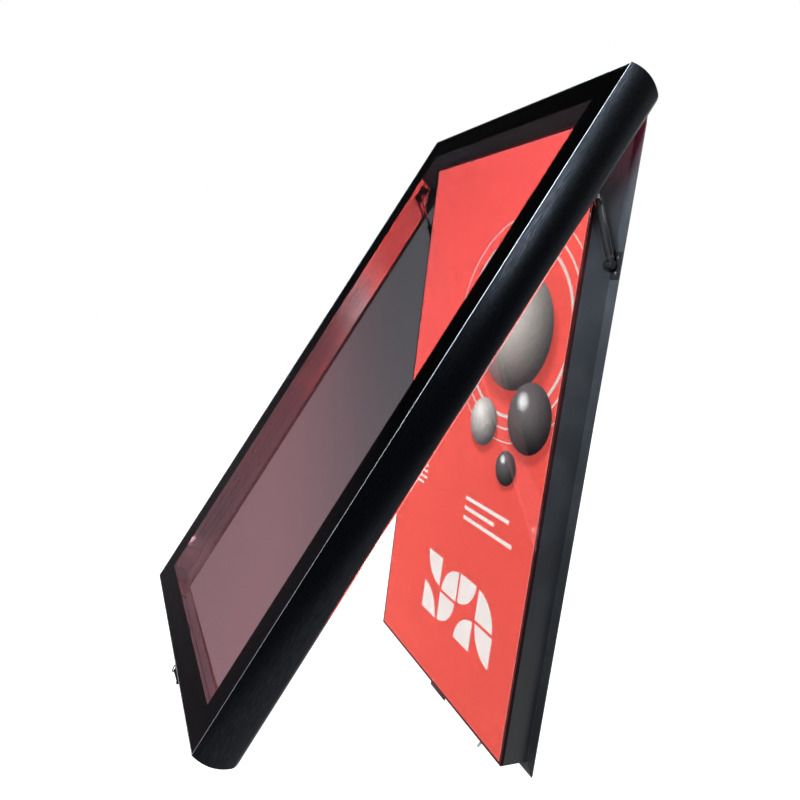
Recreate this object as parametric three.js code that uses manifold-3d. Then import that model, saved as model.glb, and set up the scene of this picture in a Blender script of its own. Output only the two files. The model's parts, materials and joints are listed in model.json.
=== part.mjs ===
// A wall-hung outdoor light box: a shallow lit cabinet with a red poster, and a glazed hood
// that swings up on a top hinge and is held open by two gas struts.
// Millimetres, +Z up, +X to the right, +Y into the wall. Inside the cabinet group the poster's
// front face is at y = 0 and its lower edge at z = 0. The part's origin is on the wall face
// of the upper wall bracket.
import * as THREE from "three";
import { mergeVertices } from "three/addons/utils/BufferGeometryUtils.js";
import Module from "manifold-3d";

const wasm = await Module();
wasm.setup();

// Fits
const gap = 0.3; // between faces that touch on the real object
const turnGap = 0.4; // round a pin or stud that turns in its hole
const overrun = 5; // how far a cutting body runs past what it cuts
const mitreGap = 0.25; // taken off each end of a mitred rail
const weldDistance = 1e-4; // corners closer than this are one

// Poster and the sheets that hold it
const posterWidth = 600;
const posterHeight = 1200;
const sheetInset = 0.5; // the sheets stop this far inside the cabinet's edge
const coverThickness = 1;
const filmThickness = 0.6;
const diffuserThickness = 4;
const filmFront = coverThickness + gap;
const diffuserFront = filmFront + filmThickness + gap;
const sheetsBack = diffuserFront + diffuserThickness;

// Cabinet rails
const cabinetDepth = 62.5; // poster face to the front of the rear flange
const sheetMetal = 2;
const frontLipWidth = 14;
const flangeWidth = 20.5;
const topFlangeWidth = 17.5;
const flangeFront = cabinetDepth;
const flangeBack = flangeFront + sheetMetal;
const railFront = sheetsBack + gap;
const cabinetHalf = posterWidth / 2;

// Cabinet corner keys
const keyLeg = 60;
const keyThickness = 3;
const keyHeight = 30;
const keyFront = railFront + sheetMetal + keyThickness;

// Back panel and wall brackets
const backThickness = 1.5;
const backInset = 1.5; // from the flange's outer edge
const backFront = flangeBack + gap;
const backRear = backFront + backThickness;
const bracketDepth = 9.4;
const bracketMetal = 1.6;
const bracketHeight = 44;
const bracketFoot = 12;
const bracketInset = 30; // of the bracket's ends from the poster's sides
const bracketLength = posterWidth - 2 * bracketInset;
const bracketHoleRadius = 3.5;
const bracketHoleInset = 40;
const bracketFromEnd = 200; // of its middle from the poster's upper or lower edge
const upperBracketHeight = posterHeight - bracketFromEnd;
const lowerBracketHeight = bracketFromEnd;
const wallPlane = backRear + gap + bracketDepth;

// Light source inside the cabinet
const ledBarCount = 5;
const ledsPerBar = 10;
const ledBarInset = 30; // of its ends from the poster's sides
const ledBarLength = posterWidth - 2 * ledBarInset;
const ledBarWidth = 20;
const ledBoardThickness = 1.6;
const lensRadius = 7;
const lensHeight = 5;
const lensSides = 10;
const driverLength = 210;
const driverHeight = 46;
const driverDepth = 30;
const driverEar = 14;
const driverEarThickness = 3;
const driverRise = 36; // above the cabinet's lower edge
const driverOffset = -15; // its middle, from the cabinet's centre line
const terminalWidth = 40;
const terminalHeight = 24;
const terminalDepth = 16;
const terminalSpace = 45; // from the driver's end
const terminalWays = 3;
const terminalSlot = 6;
const terminalSlotDepth = 5;
const wireRadius = 2.2;
const wireSides = 8;
const trunkInset = 14; // of the wiring trunk from the cabinet's inner wall

// Cable inlet and drain spout in the lower rail
const glandThreadRadius = 6;
const glandHeadRadius = 9;
const glandHeadLength = 12;
const glandDomeLength = 6;
const glandDomeRadius = 6.5;
const glandBoreRadius = 3.6;
const glandNutLength = 4;
const glandThreadLength = 9;
const glandFromSide = 95;
const glandPlace = cabinetHalf - glandFromSide;
const glandDepth = 34;
const hexSides = 6;
const spoutRadius = 2.5;
const spoutBore = 1.3;
const spoutLength = 19;
const spoutFromSide = 82;
const spoutPlace = cabinetHalf - spoutFromSide;
const spoutDepth = 11.5;
const spoutLean = THREE.MathUtils.degToRad(38);

// Hood rail section: offset outwards from the glass edge, and depth behind the glass face
const hoodFront = -15.5; // outer glass face when shut, from the poster's face
const rearOverhang = 2; // of the hood's rear edge behind the flange
const rearReach = 10.5; // of the rounded rear edge behind the crown
const rearInset = 9; // of its end inside the hood's outline
const wallSetback = 10; // of the inner wall's edge in front of the rear edge
const hoodDepth = flangeBack + rearOverhang - hoodFront;
const crownChord = hoodDepth - rearReach;
const crownRise = 5.3;
const crownSteps = 14;
const crownSides = 128; // of the full circle that the crown belongs to
const rearSteps = 5;
const hollowSteps = 4; // of the rear round that the hollow follows
const skin = 2;
const glassLip = 1.5;
const innerWallInset = 12;
const innerWallDepth = hoodDepth - wallSetback;
const shelfWidth = 22;
const grooveDepth = 0.7;
const grooveHalf = 1;
const grooveDepthShares = [0.3, 0.5, 0.7]; // of the inner wall's depth

// Hood: it goes round the cabinet's flange, with room on each side
const roomAside = 3.5;
const roomAbove = 7.2;
const roomBelow = 2.8;
const hoodHalf = cabinetHalf + flangeWidth + roomAside + innerWallInset;
const hoodTop = posterHeight + topFlangeWidth + roomAbove + innerWallInset;
const hoodBottom = -flangeWidth - roomBelow - innerWallInset;
const hoodLength = hoodTop - hoodBottom;
const hoodMiddle = (hoodTop + hoodBottom) / 2;

// Glass, its printed border and the glazing gasket
const glassThickness = 4;
const glassSetback = 0.4;
const borderWidth = 54;
const borderThickness = 0.3;
const gasketThickness = 2.4;
const gasketWidth = 16;
const glassInset = glassLip + gap;
const borderFront = glassSetback + glassThickness + gap;
const gasketFront = borderFront + borderThickness + gap;
const shelfFront = gasketFront + gasketThickness + gap;
const shelfBack = shelfFront + skin;

// Corner brackets inside the hood
const cornerLeg = 88;
const cornerFront = 14;
const cornerBack = 58;
const cornerThickness = 2;
const cornerHoleRadius = 1.7;
const cornerHoleShares = [0.35, 0.8]; // along a leg
const holeSides = 12;

// Top hinge, behind the upper flange's edge
const knuckleRadius = 3.5;
const pinRadius = 1.5;
const hingeDrop = 1; // of the hinge line behind the flange's front
const hingeRise = 4.5; // above the flange's edge
const hingeDepth = flangeFront + hingeDrop;
const hingeHeight = posterHeight + topFlangeWidth + hingeRise;
const hingeFromBracket = 15.7; // of its ends from the corner brackets
const hingeLength = 2 * (hoodHalf - innerWallInset - gap - cornerLeg - hingeFromBracket);
const openAngle = THREE.MathUtils.degToRad(28.17);
const knuckleCount = 9;
const leafThickness = 1.5;
const hoodLeafWidth = 34;
const cabinetLeafWidth = 16;
const knuckleSides = 20;
const pinHeadRadius = 2.6;
const pinHeadLength = 2;

// Gas struts
const strutFootSetback = 13; // of the foot stud in front of the flange
const strutHeadDrop = 126.2; // of the head pin below the hinge line, hood shut
const strutHeadSetback = 40.8; // of the head pin in front of the hinge line, hood shut
const strutFootDrop = 129.8; // of the foot stud below the head pin, hood shut
const strutFromWall = 12; // of the strut's axis from the cabinet's side wall
const strutFootDepth = flangeFront - strutFootSetback;
const strutHeadDepth = hingeDepth - strutHeadSetback;
const strutHeadHeight = hingeHeight - strutHeadDrop;
const strutFootHeight = strutHeadHeight - strutFootDrop;
const strutPlace = cabinetHalf + strutFromWall;
const strutRadius = 7;
const strutBore = 5.4;
const pistonRadius = 5;
const pistonLength = 8;
const rodRadius = 3;
const strutWallEnd = 3; // thickness of the cylinder's two ends
const strutCylinderStart = 9; // along the axis from the foot stud
const rodShown = 9.5; // between the cylinder and the eye's neck, hood shut
const rodRoom = 11.4; // behind the piston, hood shut
const studRadius = 4;
const socketRadius = 7;
const socketWidth = 9;
const socketFloor = 2;
const collarRadius = 4.6;
const collarLength = 1.5;
const eyeRadius = 7;
const eyeWidth = 5;
const eyeNeckRadius = 4.5;
const eyeNeckLength = 9;
const roundSides = 20;
const footPlateHeight = 46;
const footPlateThickness = 1.7;
const earRadius = 9;
const headPlateRise = 30; // above the head pin
const headPlateDrop = 9; // below the head pin
const headPlateWidth = 20;
const headPlateThickness = 2;
const screwHoleRadius = 2;
const screwHoleShares = [0.22, 0.78]; // along a strut plate

// Lock in the hood's lower rail, and the strike bar that it catches
const lockPlace = -30;
const barrelRadius = 8;
const barrelHeadRadius = 10.5;
const barrelHeadThickness = 1.6;
const barrelInside = 9; // beyond the inner wall
const coreRadius = 4;
const coreHeadRadius = 5.4;
const coreHeadThickness = 1;
const coreEnd = 4.4; // beyond the barrel
const keySlotLength = 7;
const keySlotWidth = 1.6;
const keySlotDepth = 6;
const lockNutRadius = 12;
const lockNutLength = 4;
const camLength = 40;
const camHalfWidth = 6;
const camThickness = 2.5;
const strikeStart = -13;
const strikeEnd = 57;
const strikeBase = 14;
const strikeMetal = 2;
const strikeDrop = 15;
const strikePlay = 1; // between the strike bar's lip and the turned cam

// Pull lever with a ring, under the hood's lower rail
const leverPlace = 120;
const leverDepth = 7;
const leverPinDrop = 7; // of its pin below the rail's edge line
const leverLength = 57;
const leverThickness = 3;
const leverRootRadius = 3.6;
const leverTipRadius = 2;
const leverPinRadius = 1.4;
const leverAngle = THREE.MathUtils.degToRad(6);
const ringRadius = 7;
const ringWire = 1.1;
const ringSteps = 20;
const ringSides = 8;
const leverEarThickness = 1.6;
const leverEarHalf = 4.5;
const leverBaseHalf = 7;

// Finishes
const finishes = {
  powderCoat: { color: 0x2c2e33, roughness: 0.42, metalness: 0.35 },
  brushedBlack: { color: 0x1d2025, roughness: 0.34, metalness: 0.8 },
  gloss: { color: 0x141518, roughness: 0.25, metalness: 0.3 },
  glass: { color: 0x8f8a90, roughness: 0.05, metalness: 0, transparent: true, opacity: 0.35 },
  border: { color: 0x0c0c0e, roughness: 0.2, metalness: 0 },
  rubber: { color: 0x18181a, roughness: 0.8, metalness: 0 },
  steel: { color: 0xa9adb2, roughness: 0.3, metalness: 0.9 },
  aluminium: { color: 0x9a9ba0, roughness: 0.4, metalness: 0.85 },
  poster: { color: 0xe2504a, roughness: 0.45, metalness: 0 },
  clear: { color: 0xe8e8ea, roughness: 0.1, metalness: 0, transparent: true, opacity: 0.25 },
  opal: { color: 0xf3f1ec, roughness: 0.5, metalness: 0 },
  plastic: { color: 0x1b1c1e, roughness: 0.5, metalness: 0 },
  greyPlastic: { color: 0x8c8b90, roughness: 0.55, metalness: 0 },
  board: { color: 0xe9ebe8, roughness: 0.5, metalness: 0 },
};

const lightBox = new THREE.Group();
const cabinet = new THREE.Group();
cabinet.position.set(0, -wallPlane, -upperBracketHeight);
lightBox.add(cabinet);

// The hood is drawn shut, in the cabinet's own places, and swung open about its hinge line.
const hood = new THREE.Group();
hood.position.set(0, hingeDepth, hingeHeight);
hood.rotation.x = -openAngle;
const hoodShut = new THREE.Group();
hoodShut.position.set(0, -hingeDepth, -hingeHeight);
hood.add(hoodShut);
cabinet.add(hood);

function place(group, name, geometry, finish) {
  const mesh = new THREE.Mesh(geometry, new THREE.MeshStandardMaterial(finishes[finish]));
  mesh.name = name;
  group.add(mesh);
  return mesh;
}

function solidOf(geometry) {
  const bare = geometry.clone();
  bare.deleteAttribute("normal");
  bare.deleteAttribute("uv");
  const merged = mergeVertices(bare, weldDistance);
  return new wasm.Manifold(
    new wasm.Mesh({
      numProp: 3,
      vertProperties: merged.attributes.position.array,
      triVerts: new Uint32Array(merged.index.array),
    }),
  );
}

function geometryOf(solid) {
  const mesh = solid.getMesh();
  const geometry = new THREE.BufferGeometry();
  geometry.setAttribute("position", new THREE.BufferAttribute(mesh.vertProperties, 3));
  geometry.setIndex(new THREE.BufferAttribute(mesh.triVerts, 1));
  return geometry;
}

function union(...geometries) {
  return geometryOf(geometries.map(solidOf).reduce((whole, next) => whole.add(next)));
}

function cut(geometry, ...cutters) {
  return geometryOf(cutters.map(solidOf).reduce((left, cutter) => left.subtract(cutter), solidOf(geometry)));
}

function block(xRange, yRange, zRange) {
  const size = [xRange, yRange, zRange].map(([low, high]) => high - low);
  const middle = [xRange, yRange, zRange].map(([low, high]) => (low + high) / 2);
  return new THREE.BoxGeometry(...size).translate(...middle);
}

// A cylinder or cone from one point to another.
function drum(from, to, radius, sides = roundSides, endRadius = radius) {
  const start = new THREE.Vector3(...from);
  const along = new THREE.Vector3(...to).sub(start);
  const geometry = new THREE.CylinderGeometry(endRadius, radius, along.length(), sides);
  geometry.translate(0, along.length() / 2, 0);
  const turn = new THREE.Quaternion().setFromUnitVectors(
    new THREE.Vector3(0, 1, 0),
    along.clone().normalize(),
  );
  return geometry.applyQuaternion(turn).translate(...from);
}

// A flat outline drawn in x and z, thickened from one depth to another.
function slab(shape, yRange) {
  const thickness = yRange[1] - yRange[0];
  const geometry = new THREE.ExtrudeGeometry(shape, { depth: thickness, bevelEnabled: false });
  return geometry.rotateX(Math.PI / 2).translate(0, yRange[1], 0);
}

function rectangle(halfWidth, low, high) {
  return [
    new THREE.Vector2(-halfWidth, low),
    new THREE.Vector2(halfWidth, low),
    new THREE.Vector2(halfWidth, high),
    new THREE.Vector2(-halfWidth, high),
  ];
}

// A rectangular ring round the hood's glass, by how far each edge lies inside the hood's outline.
function hoodRing(outerInset, innerInset, yRange) {
  const outline = (inset) => rectangle(hoodHalf - inset, hoodBottom + inset, hoodTop - inset);
  const shape = new THREE.Shape(outline(outerInset));
  shape.holes.push(new THREE.Path(outline(innerInset)));
  return slab(shape, yRange);
}

// One rail of a rectangular frame with mitred ends. The section is a list of [out, depth]
// points, where out is measured outwards from the frame's rectangle.
function mitredRail(side, frame, section, hollow = []) {
  const contours = [section, ...(hollow.length ? [hollow] : [])].map((points) =>
    points.map(([out, depth]) => new THREE.Vector2(out, depth)),
  );
  if (THREE.ShapeUtils.isClockWise(contours[0])) contours[0].reverse();
  if (contours[1] && !THREE.ShapeUtils.isClockWise(contours[1])) contours[1].reverse();
  const upright = side === "left" || side === "right";
  const sign = side === "left" || side === "bottom" ? -1 : 1;
  const across = upright ? frame.halfWidth : frame.halfHeight;
  const along = (upright ? frame.halfHeight : frame.halfWidth) - mitreGap;
  const at = (point, end) => {
    const outward = sign * (across + point.x);
    const lengthwise = end * (along + point.x);
    return upright
      ? [outward, frame.front + point.y, frame.middle + lengthwise]
      : [lengthwise, frame.front + point.y, frame.middle + outward];
  };
  const triangles = [];
  for (const contour of contours) {
    contour.forEach((point, index) => {
      const next = contour[(index + 1) % contour.length];
      triangles.push([at(point, -1), at(next, -1), at(next, 1)]);
      triangles.push([at(point, -1), at(next, 1), at(point, 1)]);
    });
  }
  const flat = contours.flat();
  for (const [a, b, c] of THREE.ShapeUtils.triangulateShape(contours[0], contours.slice(1))) {
    triangles.push([at(flat[a], 1), at(flat[b], 1), at(flat[c], 1)]);
    triangles.push([at(flat[c], -1), at(flat[b], -1), at(flat[a], -1)]);
  }
  const facesOut = upright ? sign > 0 : sign < 0;
  const points = triangles.flatMap((triangle) => (facesOut ? triangle : [...triangle].reverse())).flat();
  const geometry = new THREE.BufferGeometry();
  geometry.setAttribute("position", new THREE.Float32BufferAttribute(points, 3));
  return geometryOf(solidOf(geometry));
}

const sides = ["left", "right", "top", "bottom"];

// Cabinet rails: front lip, side wall and rear flange, bent from one sheet
const cabinetFrame = {
  halfWidth: cabinetHalf,
  halfHeight: posterHeight / 2,
  middle: posterHeight / 2,
  front: 0,
};

function cabinetSection(flange) {
  return [
    [0, railFront],
    [0, flangeFront],
    [flange, flangeFront],
    [flange, flangeBack],
    [-sheetMetal, flangeBack],
    [-sheetMetal, railFront + sheetMetal],
    [-frontLipWidth, railFront + sheetMetal],
    [-frontLipWidth, railFront],
  ];
}

const glandTop = sheetMetal;
const spoutAxis = [0, -Math.sin(spoutLean), -Math.cos(spoutLean)];
const spoutPoint = (distance) => [
  spoutPlace,
  spoutDepth + distance * spoutAxis[1],
  distance * spoutAxis[2],
];

for (const side of sides) {
  const section = cabinetSection(side === "top" ? topFlangeWidth : flangeWidth);
  let rail = mitredRail(side, cabinetFrame, section);
  if (side === "left" || side === "right") {
    const reach = cabinetHalf + flangeWidth + overrun;
    const flangeTop = posterHeight + topFlangeWidth;
    rail = cut(rail, block([-reach, reach], [0, flangeBack + overrun], [flangeTop, flangeTop + flangeWidth]));
  }
  if (side === "bottom") {
    rail = cut(
      rail,
      drum([glandPlace, glandDepth, -overrun], [glandPlace, glandDepth, overrun], glandThreadRadius + gap),
      drum(spoutPoint(-overrun), spoutPoint(overrun), spoutRadius + gap),
    );
  }
  place(cabinet, `cabinet_rail_${side}`, rail, "powderCoat");
}

// Corner keys that tie the rails together from inside
const keyOuter = cabinetHalf - sheetMetal - gap;
for (const [name, xSign, zSign] of [
  ["lower_left", -1, 1],
  ["lower_right", 1, 1],
  ["upper_left", -1, -1],
  ["upper_right", 1, -1],
]) {
  const edge = zSign > 0 ? sheetMetal + gap : posterHeight - sheetMetal - gap;
  const shape = new THREE.Shape(
    [
      [0, 0],
      [keyLeg, 0],
      [keyLeg, keyThickness],
      [keyThickness, keyThickness],
      [keyThickness, keyLeg],
      [0, keyLeg],
    ].map(([inward, up]) => new THREE.Vector2(xSign * (keyOuter - inward), edge + zSign * up)),
  );
  place(cabinet, `corner_key_${name}`, slab(shape, [keyFront, keyFront + keyHeight]), "steel");
}

// Back panel, and the two hat-section brackets that hold the box on the wall
const backHalf = cabinetHalf + flangeWidth - backInset;
place(
  cabinet,
  "back_panel",
  block([-backHalf, backHalf], [backFront, backRear], [backInset - flangeWidth, posterHeight]),
  "powderCoat",
);

for (const [name, height] of [
  ["upper", upperBracketHeight],
  ["lower", lowerBracketHeight],
]) {
  const foot = backRear + gap;
  const half = bracketHeight / 2;
  const footEnd = half + bracketFoot;
  const profile = [
    [-footEnd, foot],
    [-half + bracketMetal, foot],
    [-half + bracketMetal, wallPlane - bracketMetal],
    [half - bracketMetal, wallPlane - bracketMetal],
    [half - bracketMetal, foot],
    [footEnd, foot],
    [footEnd, foot + bracketMetal],
    [half, foot + bracketMetal],
    [half, wallPlane],
    [-half, wallPlane],
    [-half, foot + bracketMetal],
    [-footEnd, foot + bracketMetal],
  ];
  const shape = new THREE.Shape(profile.map(([up, depth]) => new THREE.Vector2(depth, up + height)));
  const bar = new THREE.ExtrudeGeometry(shape, { depth: bracketLength, bevelEnabled: false });
  bar.applyMatrix4(
    new THREE.Matrix4().makeBasis(
      new THREE.Vector3(0, 1, 0),
      new THREE.Vector3(0, 0, 1),
      new THREE.Vector3(1, 0, 0),
    ),
  );
  bar.translate(-bracketLength / 2, 0, 0);
  const holePlace = bracketLength / 2 - bracketHoleInset;
  const holes = [-holePlace, holePlace].map((x) =>
    drum([x, foot, height], [x, wallPlane + overrun, height], bracketHoleRadius, holeSides),
  );
  place(cabinet, `wall_bracket_${name}`, cut(bar, ...holes), "steel");
}

// Front sheets: opal diffuser, printed film and clear cover
const sheetHalf = cabinetHalf - sheetInset;
for (const [name, front, thickness, finish] of [
  ["cover_sheet", 0, coverThickness, "clear"],
  ["poster_film", filmFront, filmThickness, "poster"],
  ["diffuser_panel", diffuserFront, diffuserThickness, "opal"],
]) {
  place(
    cabinet,
    name,
    block([-sheetHalf, sheetHalf], [front, front + thickness], [sheetInset, posterHeight - sheetInset]),
    finish,
  );
}

// LED bars on the back panel
const boardBack = backFront - gap;
const boardFront = boardBack - ledBoardThickness;
const barHeight = (index) => ((index + 0.5) * posterHeight) / ledBarCount;
for (let bar = 0; bar < ledBarCount; bar += 1) {
  const middle = barHeight(bar);
  const half = ledBarLength / 2;
  const pieces = [
    block([-half, half], [boardFront, boardBack], [middle - ledBarWidth / 2, middle + ledBarWidth / 2]),
  ];
  for (let led = 0; led < ledsPerBar; led += 1) {
    const x = ((led + 0.5) * ledBarLength) / ledsPerBar - half;
    const base = [x, boardFront + ledBoardThickness / 2, middle];
    pieces.push(drum(base, [x, boardFront - lensHeight, middle], lensRadius, lensSides, lensRadius / 2));
  }
  place(cabinet, `led_bar_${bar + 1}`, union(...pieces), "board");
}

// Power supply, terminal block and the fixed wiring between them
const driverLow = driverOffset - driverLength / 2;
const driverHigh = driverOffset + driverLength / 2;
const driverTop = driverRise + driverHeight;
place(
  cabinet,
  "led_driver",
  union(
    block([driverLow, driverHigh], [boardBack - driverDepth, boardBack], [driverRise, driverTop]),
    block(
      [driverLow - driverEar, driverHigh + driverEar],
      [boardBack - driverEarThickness, boardBack],
      [driverRise + driverEar, driverTop - driverEar],
    ),
  ),
  "aluminium",
);

const terminalLow = driverHigh + terminalSpace;
const terminalHigh = terminalLow + terminalWidth;
const terminalTop = driverRise + terminalHeight;
const terminalFront = boardBack - terminalDepth;
const wayPlace = (way) => terminalLow + ((way + 0.5) * terminalWidth) / terminalWays;
const terminalSlots = [];
for (let way = 0; way < terminalWays; way += 1) {
  terminalSlots.push(
    block(
      [wayPlace(way) - terminalSlot / 2, wayPlace(way) + terminalSlot / 2],
      [terminalFront - overrun, terminalFront + terminalSlotDepth],
      [driverRise + terminalSlot, terminalTop - terminalSlot],
    ),
  );
}
place(
  cabinet,
  "terminal_block",
  cut(
    block([terminalLow, terminalHigh], [terminalFront, boardBack], [driverRise, terminalTop]),
    ...terminalSlots,
  ),
  "greyPlastic",
);

const trunkX = -(cabinetHalf - sheetMetal - trunkInset);
const wireDepth = boardFront - wireRadius;
const trunkLow = driverTop - driverEar / 2;
const trunkHigh = barHeight(ledBarCount - 1);
const wire = (from, to) => drum(from, to, wireRadius, wireSides);
const wiring = [
  wire([trunkX, wireDepth, trunkLow - wireRadius], [trunkX, wireDepth, trunkHigh + wireRadius]),
  wire([trunkX, wireDepth, trunkLow], [driverLow - gap, wireDepth, trunkLow]),
];
const tapEnd = -ledBarLength / 2 + ledBarLength / ledsPerBar / 4;
const tapDepth = wireDepth - gap;
for (let bar = 0; bar < ledBarCount; bar += 1) {
  wiring.push(wire([trunkX, tapDepth, barHeight(bar)], [tapEnd, tapDepth, barHeight(bar)]));
}
place(cabinet, "led_wiring", union(...wiring), "plastic");

const leadHeight = driverRise + terminalHeight / 2;
const leadDepth = boardBack - terminalDepth / 2;
place(
  cabinet,
  "driver_lead",
  wire([driverHigh + gap, leadDepth, leadHeight], [terminalLow - gap, leadDepth, leadHeight]),
  "plastic",
);

// Cable gland with its nut, and the lead from it to the terminal block
const glandAt = (z) => [glandPlace, glandDepth, z];
const glandBodyTop = glandTop + glandThreadLength;
place(
  cabinet,
  "cable_gland",
  cut(
    union(
      drum(glandAt(-gap - glandHeadLength), glandAt(-gap), glandHeadRadius, hexSides),
      drum(
        glandAt(-gap - glandHeadLength),
        glandAt(-gap - glandHeadLength - glandDomeLength),
        glandHeadRadius - gap,
        roundSides,
        glandDomeRadius,
      ),
      drum(glandAt(-gap - gap), glandAt(glandBodyTop), glandThreadRadius),
    ),
    drum(
      glandAt(-glandHeadLength - glandDomeLength - overrun),
      glandAt(glandBodyTop + overrun),
      glandBoreRadius,
    ),
  ),
  "plastic",
);
place(
  cabinet,
  "gland_nut",
  cut(
    drum(glandAt(glandTop + gap), glandAt(glandTop + gap + glandNutLength), glandHeadRadius, hexSides),
    drum(glandAt(0), glandAt(glandBodyTop + overrun), glandThreadRadius + gap),
  ),
  "plastic",
);

const leadEnd = [wayPlace(1), leadDepth, driverRise - gap];
const leadStart = glandAt(glandTop + gap);
const leadRise = glandBodyTop + wireRadius;
const leadPath = new THREE.CatmullRomCurve3([
  new THREE.Vector3(...leadStart),
  new THREE.Vector3(glandPlace, glandDepth, leadRise),
  new THREE.Vector3((glandPlace + leadEnd[0]) / 2, (glandDepth + leadDepth) / 2, driverRise / 2 + wireRadius),
  new THREE.Vector3(leadEnd[0], leadDepth, leadEnd[2] - wireRadius * 3),
  new THREE.Vector3(...leadEnd),
]);
const leadSection = new THREE.Shape().absarc(0, 0, wireRadius, 0, Math.PI * 2);
place(
  cabinet,
  "mains_lead",
  new THREE.ExtrudeGeometry(leadSection, {
    steps: 20,
    curveSegments: wireSides / 2,
    bevelEnabled: false,
    extrudePath: leadPath,
  }),
  "plastic",
);

// Drain spout, leaning forward under the lower rail
place(
  cabinet,
  "drain_spout",
  cut(
    drum(spoutPoint(-sheetMetal - gap), spoutPoint(spoutLength), spoutRadius),
    drum(spoutPoint(-overrun), spoutPoint(spoutLength + overrun), spoutBore, holeSides),
  ),
  "greyPlastic",
);

// Strike bar under the lower rail
place(
  cabinet,
  "strike_bar",
  union(
    block(
      [strikeStart, strikeEnd],
      [railFront, railFront + strikeBase],
      [-gap - strikeMetal, -gap],
    ),
    block(
      [strikeStart, strikeEnd],
      [railFront, railFront + strikeMetal],
      [-gap - strikeDrop, -gap],
    ),
  ),
  "plastic",
);

// Hood rails: one curved hollow section, mitred at the corners
const hoodFrame = {
  halfWidth: hoodHalf,
  halfHeight: hoodLength / 2,
  middle: hoodMiddle,
  front: hoodFront,
};
const crownRadius = (crownChord * crownChord) / 8 / crownRise + crownRise / 2;
const crownHalfAngle = Math.asin(crownChord / 2 / crownRadius);

// A point of the crowned skin, at a share of its length from front to back.
function crownPoint(share, inset = 0) {
  const angle = (2 * share - 1) * crownHalfAngle;
  const radius = crownRadius - inset;
  return [
    crownRise - crownRadius + radius * Math.cos(angle),
    crownChord / 2 + radius * Math.sin(angle),
  ];
}

// A point of the rounded rear edge, which runs on from the crown without a kink.
const rearTurn = 2 * (Math.atan2(rearInset, rearReach) - crownHalfAngle);
const rearRadius = Math.hypot(rearInset, rearReach) / 2 / Math.sin(rearTurn / 2);

function rearPoint(share, inset = 0) {
  const angle = crownHalfAngle + share * rearTurn;
  const radius = rearRadius - inset;
  return [
    radius * Math.cos(angle) - rearRadius * Math.cos(crownHalfAngle),
    crownChord + radius * Math.sin(angle) - rearRadius * Math.sin(crownHalfAngle),
  ];
}

function hoodSection() {
  const points = [[-glassLip, 0]];
  for (let step = 0; step <= crownSteps; step += 1) points.push(crownPoint(step / crownSteps));
  for (let step = 1; step <= rearSteps; step += 1) points.push(rearPoint(step / rearSteps));
  points.push([-innerWallInset, innerWallDepth]);
  for (const share of [...grooveDepthShares].reverse()) {
    const depth = shelfBack + share * (innerWallDepth - shelfBack);
    points.push([-innerWallInset, depth + grooveHalf]);
    points.push([-innerWallInset + grooveDepth, depth]);
    points.push([-innerWallInset, depth - grooveHalf]);
  }
  points.push([-innerWallInset, shelfBack]);
  points.push([-shelfWidth, shelfBack]);
  points.push([-shelfWidth, shelfFront]);
  points.push([-glassLip, shelfFront]);
  return points;
}

function hoodHollow() {
  const points = [[-innerWallInset + skin, shelfBack]];
  for (let step = 0; step <= crownSteps; step += 1) {
    const [out, depth] = crownPoint(step / crownSteps, skin);
    if (depth > shelfBack + skin) points.push([out, depth]);
  }
  for (let step = 1; step <= hollowSteps; step += 1) points.push(rearPoint(step / rearSteps, skin));
  points.push([-innerWallInset + skin, innerWallDepth]);
  return points;
}

// The crown as a round bar along x under the lower rail, for pieces that sit on it.
function lowerCrown(clearance, halfLength) {
  const depth = hoodFront + crownChord / 2;
  const height = hoodBottom - crownRise + crownRadius;
  return drum([-halfLength, depth, height], [halfLength, depth, height], crownRadius + clearance, crownSides);
}

const lockY = railFront + strikeMetal + strikePlay + camHalfWidth;
const lockAt = (out) => [lockPlace, lockY, hoodBottom - out];

for (const side of sides) {
  let rail = mitredRail(side, hoodFrame, hoodSection(), hoodHollow());
  if (side === "bottom") {
    const [low, high] = [lockAt(crownRise + overrun), lockAt(-innerWallInset - overrun)];
    rail = cut(rail, drum(low, high, barrelRadius + gap));
  }
  place(hoodShut, `hood_rail_${side}`, rail, "brushedBlack");
}

// Glass, printed border and glazing gasket
const hoodDepthRange = (front, thickness) => [hoodFront + front, hoodFront + front + thickness];
place(
  hoodShut,
  "glass_pane",
  block(
    [-hoodHalf + glassInset, hoodHalf - glassInset],
    hoodDepthRange(glassSetback, glassThickness),
    [hoodBottom + glassInset, hoodTop - glassInset],
  ),
  "glass",
);
place(
  hoodShut,
  "glass_border",
  hoodRing(glassInset, borderWidth, hoodDepthRange(borderFront, borderThickness)),
  "border",
);
place(
  hoodShut,
  "glazing_gasket",
  hoodRing(glassInset + gap, glassInset + gasketWidth, hoodDepthRange(gasketFront, gasketThickness)),
  "rubber",
);

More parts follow.
